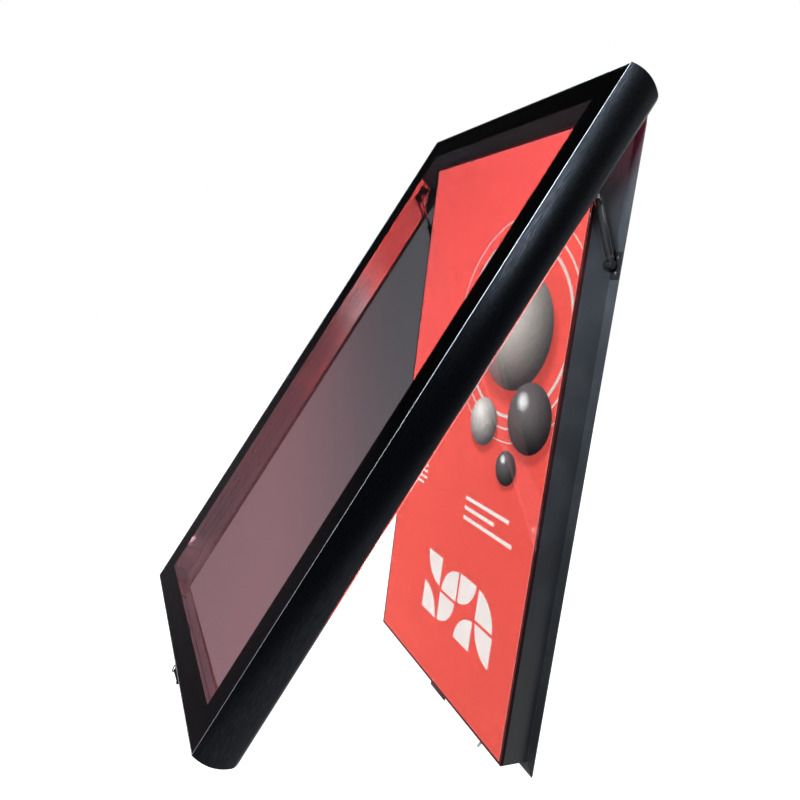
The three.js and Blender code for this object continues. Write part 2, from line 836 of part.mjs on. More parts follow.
// Corner brackets screwed to the hood's inner walls
for (const [name, xSign, zSign] of [
  ["lower_left", -1, 1],
  ["lower_right", 1, 1],
  ["upper_left", -1, -1],
  ["upper_right", 1, -1],
]) {
  const wall = innerWallInset + gap;
  const edge = zSign > 0 ? hoodBottom + wall : hoodTop - wall;
  const at = (inward, up) => new THREE.Vector2(xSign * (hoodHalf - wall - inward), edge + zSign * up);
  const shape = new THREE.Shape([
    at(0, 0),
    at(cornerLeg, 0),
    at(cornerLeg, cornerThickness),
    at(cornerThickness, cornerThickness),
    at(cornerThickness, cornerLeg),
    at(0, cornerLeg),
  ]);
  const bent = slab(shape, [hoodFront + cornerFront, hoodFront + cornerBack]);
  const middle = hoodFront + (cornerFront + cornerBack) / 2;
  const holes = [];
  for (const share of cornerHoleShares) {
    const reach = share * cornerLeg;
    const side = [at(-overrun, reach), at(overrun, reach)];
    const foot = [at(reach, -overrun), at(reach, overrun)];
    for (const [from, to] of [side, foot]) {
      holes.push(drum([from.x, middle, from.y], [to.x, middle, to.y], cornerHoleRadius, holeSides));
    }
  }
  place(hoodShut, `corner_bracket_${name}`, cut(bent, ...holes), "aluminium");
}

// Top hinge: two leaves with alternate knuckles, and the pin
const knuckleLength = hingeLength / knuckleCount;
const hingeAt = (x) => [x, hingeDepth, hingeHeight];
const hoodLeafTop = hoodTop - innerWallInset - gap;
const hoodLeafFront = hingeDepth - knuckleRadius - hoodLeafWidth;
const leafGap = knuckleRadius + turnGap;

function hingeLeaf(first, plateOf) {
  const pieces = [];
  for (let index = first; index < knuckleCount; index += 2) {
    const start = -hingeLength / 2 + index * knuckleLength + gap / 2;
    const end = start + knuckleLength - gap;
    pieces.push(drum(hingeAt(start), hingeAt(end), knuckleRadius, knuckleSides));
    pieces.push(plateOf(start, end, true));
  }
  pieces.push(plateOf(-hingeLength / 2, hingeLength / 2, false));
  const bore = drum(
    hingeAt(-hingeLength / 2 - overrun),
    hingeAt(hingeLength / 2 + overrun),
    pinRadius + turnGap,
    knuckleSides,
  );
  return cut(union(...pieces), bore);
}

const cabinetLeafBack = flangeFront - gap;
const cabinetLeafTop = posterHeight + topFlangeWidth;
place(
  cabinet,
  "hinge_leaf_cabinet",
  hingeLeaf(0, (start, end, joined) =>
    block(
      [start, end],
      [cabinetLeafBack - leafThickness, cabinetLeafBack],
      [
        cabinetLeafTop - cabinetLeafWidth,
        joined ? hingeHeight - pinRadius - turnGap : Math.min(cabinetLeafTop, hingeHeight - leafGap),
      ],
    ),
  ),
  "steel",
);
place(
  hoodShut,
  "hinge_leaf_hood",
  hingeLeaf(1, (start, end, joined) =>
    block(
      [start, end],
      [hoodLeafFront, joined ? hingeDepth - pinRadius - turnGap : hingeDepth - leafGap],
      [hoodLeafTop - leafThickness, hoodLeafTop],
    ),
  ),
  "steel",
);
place(
  cabinet,
  "hinge_pin",
  union(
    drum(hingeAt(-hingeLength / 2 - pinHeadLength), hingeAt(hingeLength / 2 + gap), pinRadius, holeSides),
    drum(
      hingeAt(-hingeLength / 2 - pinHeadLength - gap),
      hingeAt(-hingeLength / 2 - gap),
      pinHeadRadius,
      holeSides,
    ),
  ),
  "steel",
);

// Gas struts: foot and head pins, with the hood open
const headRadiusDepth = strutHeadDepth - hingeDepth;
const headRadiusHeight = strutHeadHeight - hingeHeight;
const headOpenDepth =
  hingeDepth + headRadiusDepth * Math.cos(openAngle) + headRadiusHeight * Math.sin(openAngle);
const headOpenHeight =
  hingeHeight - headRadiusDepth * Math.sin(openAngle) + headRadiusHeight * Math.cos(openAngle);
const strutRun = strutFootDepth - headOpenDepth;
const strutRise = headOpenHeight - strutFootHeight;
const strutLength = Math.hypot(strutRun, strutRise);
const strutLean = Math.atan2(strutRun, strutRise);
const strutShutLength = Math.hypot(strutFootDepth - strutHeadDepth, strutFootDrop);
const strutStroke = strutLength - strutShutLength;
const strutCylinderEnd = strutShutLength - eyeNeckLength - rodShown;

for (const [name, sign] of [
  ["left", -1],
  ["right", 1],
]) {
  const across = (distance) => sign * distance;
  const span = (low, high) => (sign > 0 ? [low, high] : [-high, -low]);

  // Foot bracket: a plate on the flange and an ear with the stud beside the cabinet wall
  const earInner = cabinetHalf + gap;
  const earOuter = earInner + footPlateThickness;
  const plateBack = flangeFront - gap;
  const socketStart = strutPlace - socketWidth / 2;
  const footHoles = screwHoleShares.map((share) => {
    const height = strutFootHeight + (share - 0.5) * footPlateHeight;
    const x = across((earOuter + cabinetHalf + flangeWidth) / 2);
    const [front, back] = [plateBack - overrun, plateBack + gap / 2];
    return drum([x, front, height], [x, back, height], screwHoleRadius, holeSides);
  });
  place(
    cabinet,
    `strut_foot_bracket_${name}`,
    cut(
      union(
        block(
          span(earInner, cabinetHalf + flangeWidth),
          [plateBack - footPlateThickness, plateBack],
          [strutFootHeight - footPlateHeight / 2, strutFootHeight + footPlateHeight / 2],
        ),
        block(
          span(earInner, earOuter),
          [strutFootDepth, plateBack],
          [strutFootHeight - earRadius, strutFootHeight + earRadius],
        ),
        drum(
          [across(earInner), strutFootDepth, strutFootHeight],
          [across(earOuter), strutFootDepth, strutFootHeight],
          earRadius,
        ),
        drum(
          [across(earInner + gap), strutFootDepth, strutFootHeight],
          [across(socketStart + socketWidth - socketFloor - turnGap), strutFootDepth, strutFootHeight],
          studRadius,
        ),
      ),
      ...footHoles,
    ),
    "gloss",
  );

  // Head bracket on the hood's inner wall, with a boss that faces the rod's eye
  const wallFace = hoodHalf - innerWallInset - gap;
  const bossEnd = strutPlace + eyeWidth / 2 + gap;
  const headPlate = block(
    span(wallFace - headPlateThickness, wallFace),
    [strutHeadDepth - headPlateWidth / 2, strutHeadDepth + headPlateWidth / 2],
    [strutHeadHeight - headPlateDrop, strutHeadHeight + headPlateRise],
  );
  const headHoles = screwHoleShares.map((share) => {
    const height = strutHeadHeight + share * headPlateRise;
    const y = strutHeadDepth - headPlateWidth * (share - 0.5);
    return drum(
      [across(wallFace - headPlateThickness - overrun), y, height + studRadius],
      [across(wallFace + overrun), y, height + studRadius],
      screwHoleRadius,
      holeSides,
    );
  });
  const boss = drum(
    [across(bossEnd), strutHeadDepth, strutHeadHeight],
    [across(wallFace - headPlateThickness / 2), strutHeadDepth, strutHeadHeight],
    studRadius,
  );
  place(hoodShut, `strut_head_bracket_${name}`, union(cut(headPlate, ...headHoles), boss), "gloss");

  // The strut itself, drawn upright from its foot stud and then leaned forward
  const strut = new THREE.Group();
  strut.position.set(across(strutPlace), strutFootDepth, strutFootHeight);
  strut.rotation.x = strutLean;
  cabinet.add(strut);

  const half = socketWidth / 2;
  place(
    strut,
    `strut_socket_${name}`,
    cut(
      union(
        drum([across(-half), 0, 0], [across(half), 0, 0], socketRadius),
        drum([0, 0, 0], [0, 0, strutCylinderStart - gap], half - gap),
      ),
      drum([across(-half - overrun), 0, 0], [across(half - socketFloor), 0, 0], studRadius + turnGap),
    ),
    "gloss",
  );

  const cylinderProfile = [
    [0, strutCylinderStart],
    [strutRadius, strutCylinderStart],
    [strutRadius, strutCylinderEnd - strutWallEnd],
    [strutRadius - rodRadius / 2, strutCylinderEnd],
    [rodRadius + turnGap, strutCylinderEnd],
    [rodRadius + turnGap, strutCylinderEnd - strutWallEnd],
    [strutBore, strutCylinderEnd - strutWallEnd],
    [strutBore, strutCylinderStart + strutWallEnd],
    [0, strutCylinderStart + strutWallEnd],
  ];
  place(
    strut,
    `strut_cylinder_${name}`,
    new THREE.LatheGeometry(
      cylinderProfile.map(([radius, along]) => new THREE.Vector2(radius, along)),
      roundSides,
    ).rotateX(Math.PI / 2),
    "gloss",
  );

  const rodStart = strutCylinderStart + strutWallEnd + rodRoom + strutStroke;
  const rodEnd = strutLength - eyeNeckLength - gap;
  place(
    strut,
    `strut_rod_${name}`,
    union(
      drum([0, 0, rodStart], [0, 0, rodEnd], rodRadius),
      drum([0, 0, rodStart], [0, 0, rodStart + pistonLength], pistonRadius),
    ),
    "steel",
  );

  const neckStart = strutLength - eyeNeckLength;
  const neckEnd = strutLength - studRadius - turnGap;
  place(
    strut,
    `strut_eye_${name}`,
    union(
      drum([across(-eyeWidth / 2), 0, strutLength], [across(eyeWidth / 2), 0, strutLength], eyeRadius),
      drum([0, 0, neckStart], [0, 0, neckEnd], eyeNeckRadius, roundSides, eyeWidth / 2),
      drum([0, 0, neckStart], [0, 0, neckStart + collarLength], collarRadius),
    ),
    "gloss",
  );
}

// Lock: barrel, nut, core and cam
const barrelEnd = innerWallInset + barrelInside;
const nutLow = -innerWallInset - gap;
place(
  hoodShut,
  "lock_barrel",
  cut(
    union(
      drum(lockAt(-barrelEnd), lockAt(crownRise + gap + gap), barrelRadius),
      drum(lockAt(crownRise + gap), lockAt(crownRise + gap + barrelHeadThickness), barrelHeadRadius),
    ),
    drum(lockAt(-barrelEnd - overrun), lockAt(crownRise + overrun), coreRadius + turnGap),
    drum(
      lockAt(crownRise + barrelHeadThickness - coreHeadThickness),
      lockAt(crownRise + overrun),
      coreHeadRadius + turnGap,
    ),
  ),
  "steel",
);
place(
  hoodShut,
  "lock_nut",
  cut(
    drum(lockAt(nutLow), lockAt(nutLow - lockNutLength), lockNutRadius, hexSides),
    drum(lockAt(-barrelEnd), lockAt(0), barrelRadius + gap),
  ),
  "steel",
);
const coreFace = crownRise + gap + barrelHeadThickness;
const coreSeat = crownRise + barrelHeadThickness - coreHeadThickness + gap;
place(
  hoodShut,
  "lock_core",
  cut(
    union(
      drum(lockAt(-barrelEnd - coreEnd), lockAt(coreFace), coreRadius),
      drum(lockAt(coreSeat), lockAt(coreFace), coreHeadRadius),
    ),
    block(
      [lockPlace - keySlotLength / 2, lockPlace + keySlotLength / 2],
      [lockY - keySlotWidth / 2, lockY + keySlotWidth / 2],
      [hoodBottom - coreFace - overrun, hoodBottom - coreFace + keySlotDepth],
    ),
  ),
  "steel",
);
const camShape = new THREE.Shape()
  .absarc(0, 0, camHalfWidth, Math.PI, 2 * Math.PI)
  .lineTo(camHalfWidth, camLength - camHalfWidth)
  .absarc(0, camLength - camHalfWidth, camHalfWidth, 0, Math.PI);
camShape.holes.push(new THREE.Path().absarc(0, 0, coreRadius + gap, 0, 2 * Math.PI));
const camLow = hoodBottom + barrelEnd + gap;
place(
  hoodShut,
  "lock_cam",
  new THREE.ExtrudeGeometry(camShape, { depth: camThickness, bevelEnabled: false, curveSegments: holeSides })
    .rotateZ(Math.PI / 2)
    .translate(lockPlace, lockY, camLow),
  "steel",
);

// Pull lever: bracket under the rail with its pin, and the lever with a ring at its free end
const leverY = hoodFront + leverDepth;
const leverZ = hoodBottom - leverPinDrop;
const leverHalf = leverThickness / 2;
const earStart = leverHalf + turnGap;
const leverBracket = cut(
  union(
    block(
      [leverPlace - leverBaseHalf, leverPlace + leverBaseHalf],
      [leverY - earStart - leverEarThickness, leverY + earStart + leverEarThickness],
      [leverZ + leverRootRadius + turnGap, hoodBottom + overrun],
    ),
    ...[-1, 1].map((sign) => {
      const inner = leverY + sign * earStart;
      const outer = leverY + sign * (earStart + leverEarThickness);
      return block(
        [leverPlace - leverEarHalf, leverPlace + leverEarHalf],
        [Math.min(inner, outer), Math.max(inner, outer)],
        [leverZ - leverRootRadius, leverZ + leverRootRadius + turnGap + turnGap],
      );
    }),
    drum(
      [leverPlace, leverY - earStart - gap, leverZ],
      [leverPlace, leverY + earStart + gap, leverZ],
      leverPinRadius,
      holeSides,
    ),
  ),
  lowerCrown(gap, hoodHalf),
);
place(hoodShut, "lever_bracket", leverBracket, "gloss");

const lever = new THREE.Group();
lever.position.set(leverPlace, leverY, leverZ);
lever.rotation.y = -leverAngle;
hoodShut.add(lever);
const armEnd = leverLength - ringRadius + ringWire;
const armShape = new THREE.Shape([
  new THREE.Vector2(0, -leverRootRadius),
  new THREE.Vector2(0, leverRootRadius),
  new THREE.Vector2(-armEnd, leverTipRadius),
  new THREE.Vector2(-armEnd, -leverTipRadius),
]);
const ring = new THREE.TorusGeometry(ringRadius - ringWire, ringWire, ringSides, ringSteps)
  .rotateX(Math.PI / 2)
  .translate(-leverLength, 0, 0);
place(
  lever,
  "pull_lever",
  cut(
    union(
      slab(armShape, [-leverHalf, leverHalf]),
      drum([0, -leverHalf, 0], [0, leverHalf, 0], leverRootRadius),
      ring,
    ),
    drum([0, -overrun, 0], [0, overrun, 0], leverPinRadius + turnGap, holeSides),
  ),
  "gloss",
);

export default lightBox;
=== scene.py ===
import json
import math

import bmesh
import bpy
from mathutils import Matrix, Vector

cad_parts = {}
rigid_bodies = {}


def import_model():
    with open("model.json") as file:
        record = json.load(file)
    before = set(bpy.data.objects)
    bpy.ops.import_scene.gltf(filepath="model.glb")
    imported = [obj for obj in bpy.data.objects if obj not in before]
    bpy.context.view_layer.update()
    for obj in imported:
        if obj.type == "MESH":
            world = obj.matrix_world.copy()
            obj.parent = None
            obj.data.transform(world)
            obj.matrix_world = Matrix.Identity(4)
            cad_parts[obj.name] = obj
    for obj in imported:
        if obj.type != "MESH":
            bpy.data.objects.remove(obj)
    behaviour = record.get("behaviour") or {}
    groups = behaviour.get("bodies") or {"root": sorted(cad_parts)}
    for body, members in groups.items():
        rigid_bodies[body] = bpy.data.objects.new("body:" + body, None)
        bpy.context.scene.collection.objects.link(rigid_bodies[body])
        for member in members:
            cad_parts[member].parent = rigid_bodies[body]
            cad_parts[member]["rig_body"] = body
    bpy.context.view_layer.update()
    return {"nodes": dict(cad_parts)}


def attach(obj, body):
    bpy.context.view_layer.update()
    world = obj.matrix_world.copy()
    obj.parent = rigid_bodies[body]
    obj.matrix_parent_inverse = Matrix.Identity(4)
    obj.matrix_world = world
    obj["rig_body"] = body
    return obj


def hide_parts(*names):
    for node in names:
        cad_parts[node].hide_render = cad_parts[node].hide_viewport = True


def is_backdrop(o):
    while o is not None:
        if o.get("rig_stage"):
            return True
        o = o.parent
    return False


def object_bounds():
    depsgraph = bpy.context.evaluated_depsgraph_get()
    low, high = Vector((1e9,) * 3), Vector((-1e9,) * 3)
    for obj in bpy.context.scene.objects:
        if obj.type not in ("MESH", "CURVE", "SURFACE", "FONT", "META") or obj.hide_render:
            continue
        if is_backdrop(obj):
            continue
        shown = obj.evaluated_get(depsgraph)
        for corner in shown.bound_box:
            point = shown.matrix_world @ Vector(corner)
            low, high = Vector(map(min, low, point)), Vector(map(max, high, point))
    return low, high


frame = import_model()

MM = 0.001
WALL_PLANE = 76.0
ORIGIN_HEIGHT = 1000.0

# Cabinet
POSTER_WIDTH = 600.0
POSTER_HEIGHT = 1200.0
CABINET_DEPTH = 62.5
RAIL_FRONT = 6.5
SHEET_METAL = 2.0
FRONT_LIP = 14.0
FLANGE_WIDTH = 20.5
TOP_FLANGE_WIDTH = 17.5
BEND_RADIUS = 1.6
BEND_STEPS = 4

# Hood
HOOD_WIDTH = 672.0
HOOD_LENGTH = 1272.0
HOOD_FRONT = -15.5
HOOD_TOP = 1236.7
HOOD_MIDDLE = HOOD_TOP - HOOD_LENGTH / 2
HOOD_BOTTOM = HOOD_TOP - HOOD_LENGTH
HOOD_DEPTH = 82.0
OPEN_ANGLE = math.radians(28.17)
HINGE_DEPTH = 63.5
HINGE_HEIGHT = 1222.0
REAR_REACH = 10.5
REAR_INSET = 9.0
CROWN_CHORD = HOOD_DEPTH - REAR_REACH
CROWN_RISE = 5.3
CROWN_STEPS = 40
CROWN_START = 0.25
REAR_STEPS = 20
GLASS_LIP = 1.5
LIP_EDGE = 0.3
INNER_WALL_INSET = 12.0
INNER_WALL_DEPTH = 72.0
SHELF_WIDTH = 22.0
SHELF_FRONT = 8.0
SHELF_BACK = 10.0
GROOVE_DEPTH = 0.7
GROOVE_HALF = 1.0
GROOVE_DEPTH_SHARES = (0.3, 0.5, 0.7)
MITRE_GAP = 0.25

# Gas struts
STRUT_PLACE = 312.0
STRUT_FOOT = (49.5, 966.0)
STRUT_HEAD = (22.7, 1095.8)
STRUT_RADIUS = 7.0
ROD_RADIUS = 3.0
CYLINDER_START = 9.0
CYLINDER_END = 114.0

# Camera, fitted to the outlines in the photograph
IMAGE_SIDE = 800.0
CAMERA_PLACE = (1.24318, -0.82417, -0.15697)
CAMERA_TURN = (1.44381, 1.08617, -0.76784)
FOCAL_PIXELS = 659.15
CENTRE_PIXEL = (371.58, 425.36)
SENSOR_WIDTH = 36.0

SIDES = ("left", "right", "top", "bottom")
# Corners of the hood: the sign of its side in x, and the sign of the way inwards in z
CORNERS = {"lower_left": (-1, 1), "lower_right": (1, 1), "upper_left": (-1, -1), "upper_right": (1, -1)}


def cabinet_point(x, y, z):
    return Vector((x, y - WALL_PLANE, z - ORIGIN_HEIGHT)) * MM


def opened(y, z):
    """Where a place on the shut hood lies once the hood is open."""
    depth, height = y - HINGE_DEPTH, z - HINGE_HEIGHT
    cosine, sine = math.cos(OPEN_ANGLE), math.sin(OPEN_ANGLE)
    return HINGE_DEPTH + depth * cosine + height * sine, HINGE_HEIGHT - depth * sine + height * cosine


def hood_point(x, y, z):
    return cabinet_point(x, *opened(y, z))


def hood_direction(x, y, z):
    return hood_point(x, y, z) - hood_point(0, 0, 0)


# Shader nodes

# Where a colour mix node has its share, its two colours and its result
MIX_SHARE, MIX_FIRST, MIX_SECOND, MIX_RESULT = 0, 6, 7, 2


def node(tree, kind, sockets=None, **settings):
    made = tree.nodes.new(kind)
    for name, value in settings.items():
        setattr(made, name, value)
    for name, value in (sockets or {}).items():
        socket = made.inputs[name]
        if isinstance(value, bpy.types.NodeSocket):
            tree.links.new(value, socket)
        else:
            socket.default_value = value
    return made


def link(tree, value, shader, name):
    tree.links.new(value, shader.inputs[name])


def object_place(tree):
    return node(tree, "ShaderNodeTexCoord").outputs["Object"]


def axes(tree, place):
    return node(tree, "ShaderNodeSeparateXYZ", {0: place}).outputs


def calc(tree, operation, first, second=0.0, clamp=False):
    sockets = {0: first, 1: second}
    return node(tree, "ShaderNodeMath", sockets, operation=operation, use_clamp=clamp).outputs[0]


def vector(tree, operation, first, second=(0.0, 0.0, 0.0)):
    made = node(tree, "ShaderNodeVectorMath", {0: first, 1: second}, operation=operation)
    return made.outputs["Value" if operation == "DISTANCE" else "Vector"]


def noise(tree, place, scale, detail, roughness=0.5):
    sockets = {"Vector": place, "Scale": scale, "Detail": detail, "Roughness": roughness}
    return node(tree, "ShaderNodeTexNoise", sockets).outputs[0]


def blend_colour(tree, share, low, high, kind="MIX"):
    sockets = {MIX_SHARE: share, MIX_FIRST: low, MIX_SECOND: high}
    made = node(tree, "ShaderNodeMix", sockets, data_type="RGBA", blend_type=kind)
    return made.outputs[MIX_RESULT]


def spread(tree, value, low, high):
    """A share from 0 to 1, stretched to run from low to high."""
    return node(tree, "ShaderNodeMapRange", {"Value": value, "To Min": low, "To Max": high}).outputs[0]


def stretch(tree, value, ends, **settings):
    """A value as a share from 0 to 1 of the way between two ends."""
    sockets = {"Value": value, "From Min": ends[0], "From Max": ends[1]}
    return node(tree, "ShaderNodeMapRange", sockets, **settings).outputs[0]


def mix_surface(tree, share, first, second, end="Material Output"):
    both = node(tree, "ShaderNodeMixShader", {0: share, 1: first.outputs[0], 2: second.outputs[0]})
    link(tree, both.outputs[0], tree.nodes[end], "Surface")


def group(name, inputs, outputs, build):
    """A shader node group. The inputs are (name, kind, default) and the outputs (name, kind)."""
    tree = bpy.data.node_groups.new(name, "ShaderNodeTree")
    for label, kind, default in inputs:
        socket = tree.interface.new_socket(label, in_out="INPUT", socket_type=kind)
        socket.default_value = default
    for label, kind in outputs:
        tree.interface.new_socket(label, in_out="OUTPUT", socket_type=kind)
    entry = tree.nodes.new("NodeGroupInput")
    end = tree.nodes.new("NodeGroupOutput")
    for label, socket in build(tree, entry.outputs).items():
        tree.links.new(socket, end.inputs[label])
    return tree


def use(tree, shared, **sockets):
    return node(tree, "ShaderNodeGroup", sockets, node_tree=shared).outputs


def colour(red, green, blue):
    """A colour given as it shows on a screen, from 0 to 255, by the usual screen curve."""
    def linear(level):
        share = level / 255
        return share / 12.92 if share <= 0.04045 else ((share + 0.055) / 1.055) ** 2.4
    return (linear(red), linear(green), linear(blue), 1.0)


def scaled(base, share):
    return (*(share * level for level in base[:3]), 1.0)


# Effects that several finishes share

FLOAT = "NodeSocketFloat"
VECTOR = "NodeSocketVector"
BLACK = (0.0, 0.0, 0.0, 1.0)
WHITE = (1.0, 1.0, 1.0, 1.0)

# How often the brushing repeats in a metre, across x, y and z
FINE_LINES = (90.0, 1500.0, 90.0)
WIDE_LINES = (38.0, 420.0, 38.0)
WIDE_LINE_SHARE = 0.35
LINE_CONTRAST = (0.36, 0.64)
# Dust lies in broad patches of fine specks
PATCHES_PER_METRE = 7.0
PATCH_CONTRAST = (0.45, 0.72)
SPECKS_PER_METRE = 320.0
SPECK_CONTRAST = (0.45, 0.75)
LEAST_SPECK = 0.35
SHADES_PER_METRE = 14.0


def build_hairlines(tree, given):
    leaning = node(
        tree, "ShaderNodeVectorRotate", {"Vector": object_place(tree), "Angle": given["Lean"]},
        rotation_type="X_AXIS",
    ).outputs[0]
    fine = noise(tree, vector(tree, "MULTIPLY", leaning, FINE_LINES), 1.0, detail=3.0)
    wide = noise(tree, vector(tree, "MULTIPLY", leaning, WIDE_LINES), 1.0, detail=2.0)
    both = node(tree, "ShaderNodeMix", {"Factor": WIDE_LINE_SHARE, "A": fine, "B": wide}).outputs[0]
    return {"Lines": stretch(tree, both, LINE_CONTRAST)}


def build_dust(tree, given):
    place = object_place(tree)
    broad = noise(tree, place, PATCHES_PER_METRE, detail=5.0, roughness=0.6)
    fine = noise(tree, place, SPECKS_PER_METRE, detail=2.0)
    patch, speck = stretch(tree, broad, PATCH_CONTRAST), stretch(tree, fine, SPECK_CONTRAST)
    film = calc(tree, "MULTIPLY", patch, spread(tree, speck, LEAST_SPECK, 1.0))
    return {"Dust": calc(tree, "MULTIPLY", film, given["Amount"])}


def build_peel(tree, given):
    place = object_place(tree)
    return {
        "Height": noise(tree, place, given["Scale"], detail=3.0),
        "Shade": noise(tree, place, SHADES_PER_METRE, detail=4.0),
    }


hairlines = group("hairlines", [("Lean", FLOAT, 0.0)], [("Lines", FLOAT)], build_hairlines)
dust = group("dust", [("Amount", FLOAT, 0.3)], [("Dust", FLOAT)], build_dust)
peel = group("paint_peel", [("Scale", FLOAT, 600.0)], [("Height", FLOAT), ("Shade", FLOAT)], build_peel)

# Finishes, kept by name

looks = {}
BUMP_DEPTH = 0.0002
LINE_DEPTH = 0.0001


def finish(name, metallic=0.0, specular=0.5):
    material = bpy.data.materials.new(name)
    material.use_nodes = True
    looks[name] = material
    tree = material.node_tree
    shader = tree.nodes["Principled BSDF"]
    shader.inputs["Metallic"].default_value = metallic
    shader.inputs["Specular IOR Level"].default_value = specular
    return tree, shader


def cover(tree, shader, amount, clean, dusty):
    """Lays a film of dust over a clean colour. Gives back where the film lies."""
    film = use(tree, dust, Amount=amount)["Dust"]
    link(tree, blend_colour(tree, film, clean, dusty), shader, "Base Color")
    return film


def set_roughness(tree, shader, clean, film, dust_share):
    dulled = calc(tree, "MULTIPLY", film, dust_share)
    link(tree, calc(tree, "ADD", clean, dulled), shader, "Roughness")


def set_bump(tree, shader, height, strength, distance=BUMP_DEPTH):
    sockets = {"Height": height, "Strength": strength, "Distance": distance}
    link(tree, node(tree, "ShaderNodeBump", sockets).outputs[0], shader, "Normal")


PAINT_DARK, PAINT_PALE = 0.82, 1.16
PAINT_DUST = (0.32, 0.32, 0.33, 1.0)
PAINT_UNEVEN = 0.05
PAINT_DUST_ROUGHNESS = 0.3


def painted(name, base, roughness, skin=600, dusty=0.25, metallic=0.0, specular=0.5, bump=0.12):
    """Paint or plastic, uneven in shade, with a fine skin and a film of dust."""
    tree, shader = finish(name, metallic, specular)
    peeled = use(tree, peel, Scale=skin)
    shaded = blend_colour(tree, peeled["Shade"], scaled(base, PAINT_DARK), scaled(base, PAINT_PALE))
    film = cover(tree, shader, dusty, shaded, PAINT_DUST)
    uneven = spread(tree, peeled["Shade"], roughness - PAINT_UNEVEN, roughness + PAINT_UNEVEN)
    set_roughness(tree, shader, uneven, film, PAINT_DUST_ROUGHNESS)
    set_bump(tree, shader, peeled["Height"], bump)


BRUSHED_DUST = (0.12, 0.12, 0.125, 1.0)
BRUSHED_UNEVEN = 0.06
BRUSHED_DUST_ROUGHNESS = 0.2


def brushed(name, base, bright, roughness, lean, dusty, bump):
    """Metal with fine lines along it."""
    tree, shader = finish(name, metallic=1.0)
    lines = use(tree, hairlines, Lean=lean)["Lines"]
    film = cover(tree, shader, dusty, blend_colour(tree, lines, base, bright), BRUSHED_DUST)
    uneven = spread(tree, lines, roughness + BRUSHED_UNEVEN, roughness - BRUSHED_UNEVEN)
    set_roughness(tree, shader, uneven, film, BRUSHED_DUST_ROUGHNESS)
    set_bump(tree, shader, lines, bump, LINE_DEPTH)


METAL_DARK = 0.8
METAL_DUST = (0.25, 0.24, 0.23, 1.0)
METAL_PEEL = 900.0
METAL_BUMP = 0.06
METAL_SMOOTHER, METAL_ROUGHER = 0.06, 0.1


def metal(name, base, roughness, dusty):
    """Plain or plated metal."""
    tree, shader = finish(name, metallic=1.0)
    peeled = use(tree, peel, Scale=METAL_PEEL)
    shaded = blend_colour(tree, peeled["Shade"], scaled(base, METAL_DARK), base)
    cover(tree, shader, dusty, shaded, METAL_DUST)
    uneven = spread(tree, peeled["Shade"], roughness - METAL_SMOOTHER, roughness + METAL_ROUGHER)
    link(tree, uneven, shader, "Roughness")
    set_bump(tree, shader, peeled["Height"], METAL_BUMP)


# Paints and plastics: colour on screen, roughness, and what differs from plain paint
PAINTS = {
    "powder_coat": ((29, 31, 34), 0.36, dict(skin=900, dusty=0.04, specular=0.35, bump=0.05)),
    "panel_coat": ((52, 54, 58), 0.42, dict(skin=500, dusty=0.35)),
    "gloss_black": ((15, 15, 17), 0.24, dict(skin=300, dusty=0.03, specular=0.35, bump=0.03)),
    "black_plastic": ((34, 34, 36), 0.5, dict(skin=1400, bump=0.2)),
    "grey_plastic": ((150, 148, 150), 0.5, dict(skin=1200, bump=0.15)),
    "sheet_edging": ((26, 8, 10), 0.7, dict(skin=900, dusty=0.02, specular=0.1)),
    "seal_rubber": ((24, 24, 25), 0.75, dict(skin=1800, dusty=0.4, specular=0.3)),
    "opal_acrylic": ((240, 238, 232), 0.35, dict(skin=60, dusty=0.05)),
    "led_board": ((226, 228, 224), 0.45, dict(skin=900, dusty=0.1)),
    "inner_satin": ((212, 206, 210), 0.2, dict(skin=40, dusty=0.04, metallic=0.5, bump=0.01)),
    "inner_edging": ((212, 206, 208), 0.6, dict(skin=900, dusty=0.1, specular=0.2)),
    "inner_pale": ((172, 158, 160), 0.5, dict(skin=900, dusty=0.1, specular=0.3)),
    "dull_aluminium": ((196, 190, 194), 0.45, dict(dusty=0.1)),
    "lever_black": ((13, 13, 14), 0.5, dict(dusty=0.02, specular=0.15, bump=0.03)),
    "hinge_beige": ((206, 186, 142), 0.5, dict(dusty=0.1, metallic=0.3)),
    # Pale finish of the glass-edge bead and the inner ribs: painted highlight lines
    "bright_edge": ((142, 145, 150), 0.4, dict(dusty=0.05, metallic=0.35)),
    "screw_steel": ((214, 214, 216), 0.36, dict(dusty=0.04, metallic=0.55, bump=0.03)),
}
for name, (tone, roughness, differences) in PAINTS.items():
    painted(name, colour(*tone), roughness, **differences)

# Metals: colour on screen, roughness and dust
METALS = {
    "zinc": ((190, 192, 196), 0.32, 0.15),
    "black_zinc": ((44, 44, 47), 0.4, 0.05),
    "satin_aluminium": ((176, 176, 180), 0.42, 0.15),
    "polished_rod": ((206, 208, 212), 0.14, 0.05),
}
for name, (tone, roughness, dusty) in METALS.items():
    metal(name, colour(*tone), roughness, dusty)

brushed("brushed_black", colour(22, 24, 27), colour(38, 41, 46), 0.3, OPEN_ANGLE, 0.02, 0.08)

# The pane's colour changes between two heights, on a slant across the pane. The pink low down is a
# painted red glow of the poster, the grey up high is painted shade behind the pane, and partly it is
# the glass's own tint
GLOW_TO_SHADE_HEIGHTS = (300.0, 850.0)
GLOW_TO_SHADE_SLANT = 0.53
GLASS_INDEX = 1.45
GLASS_DUST = 0.03
DUSTY_DARKENING = 0.14


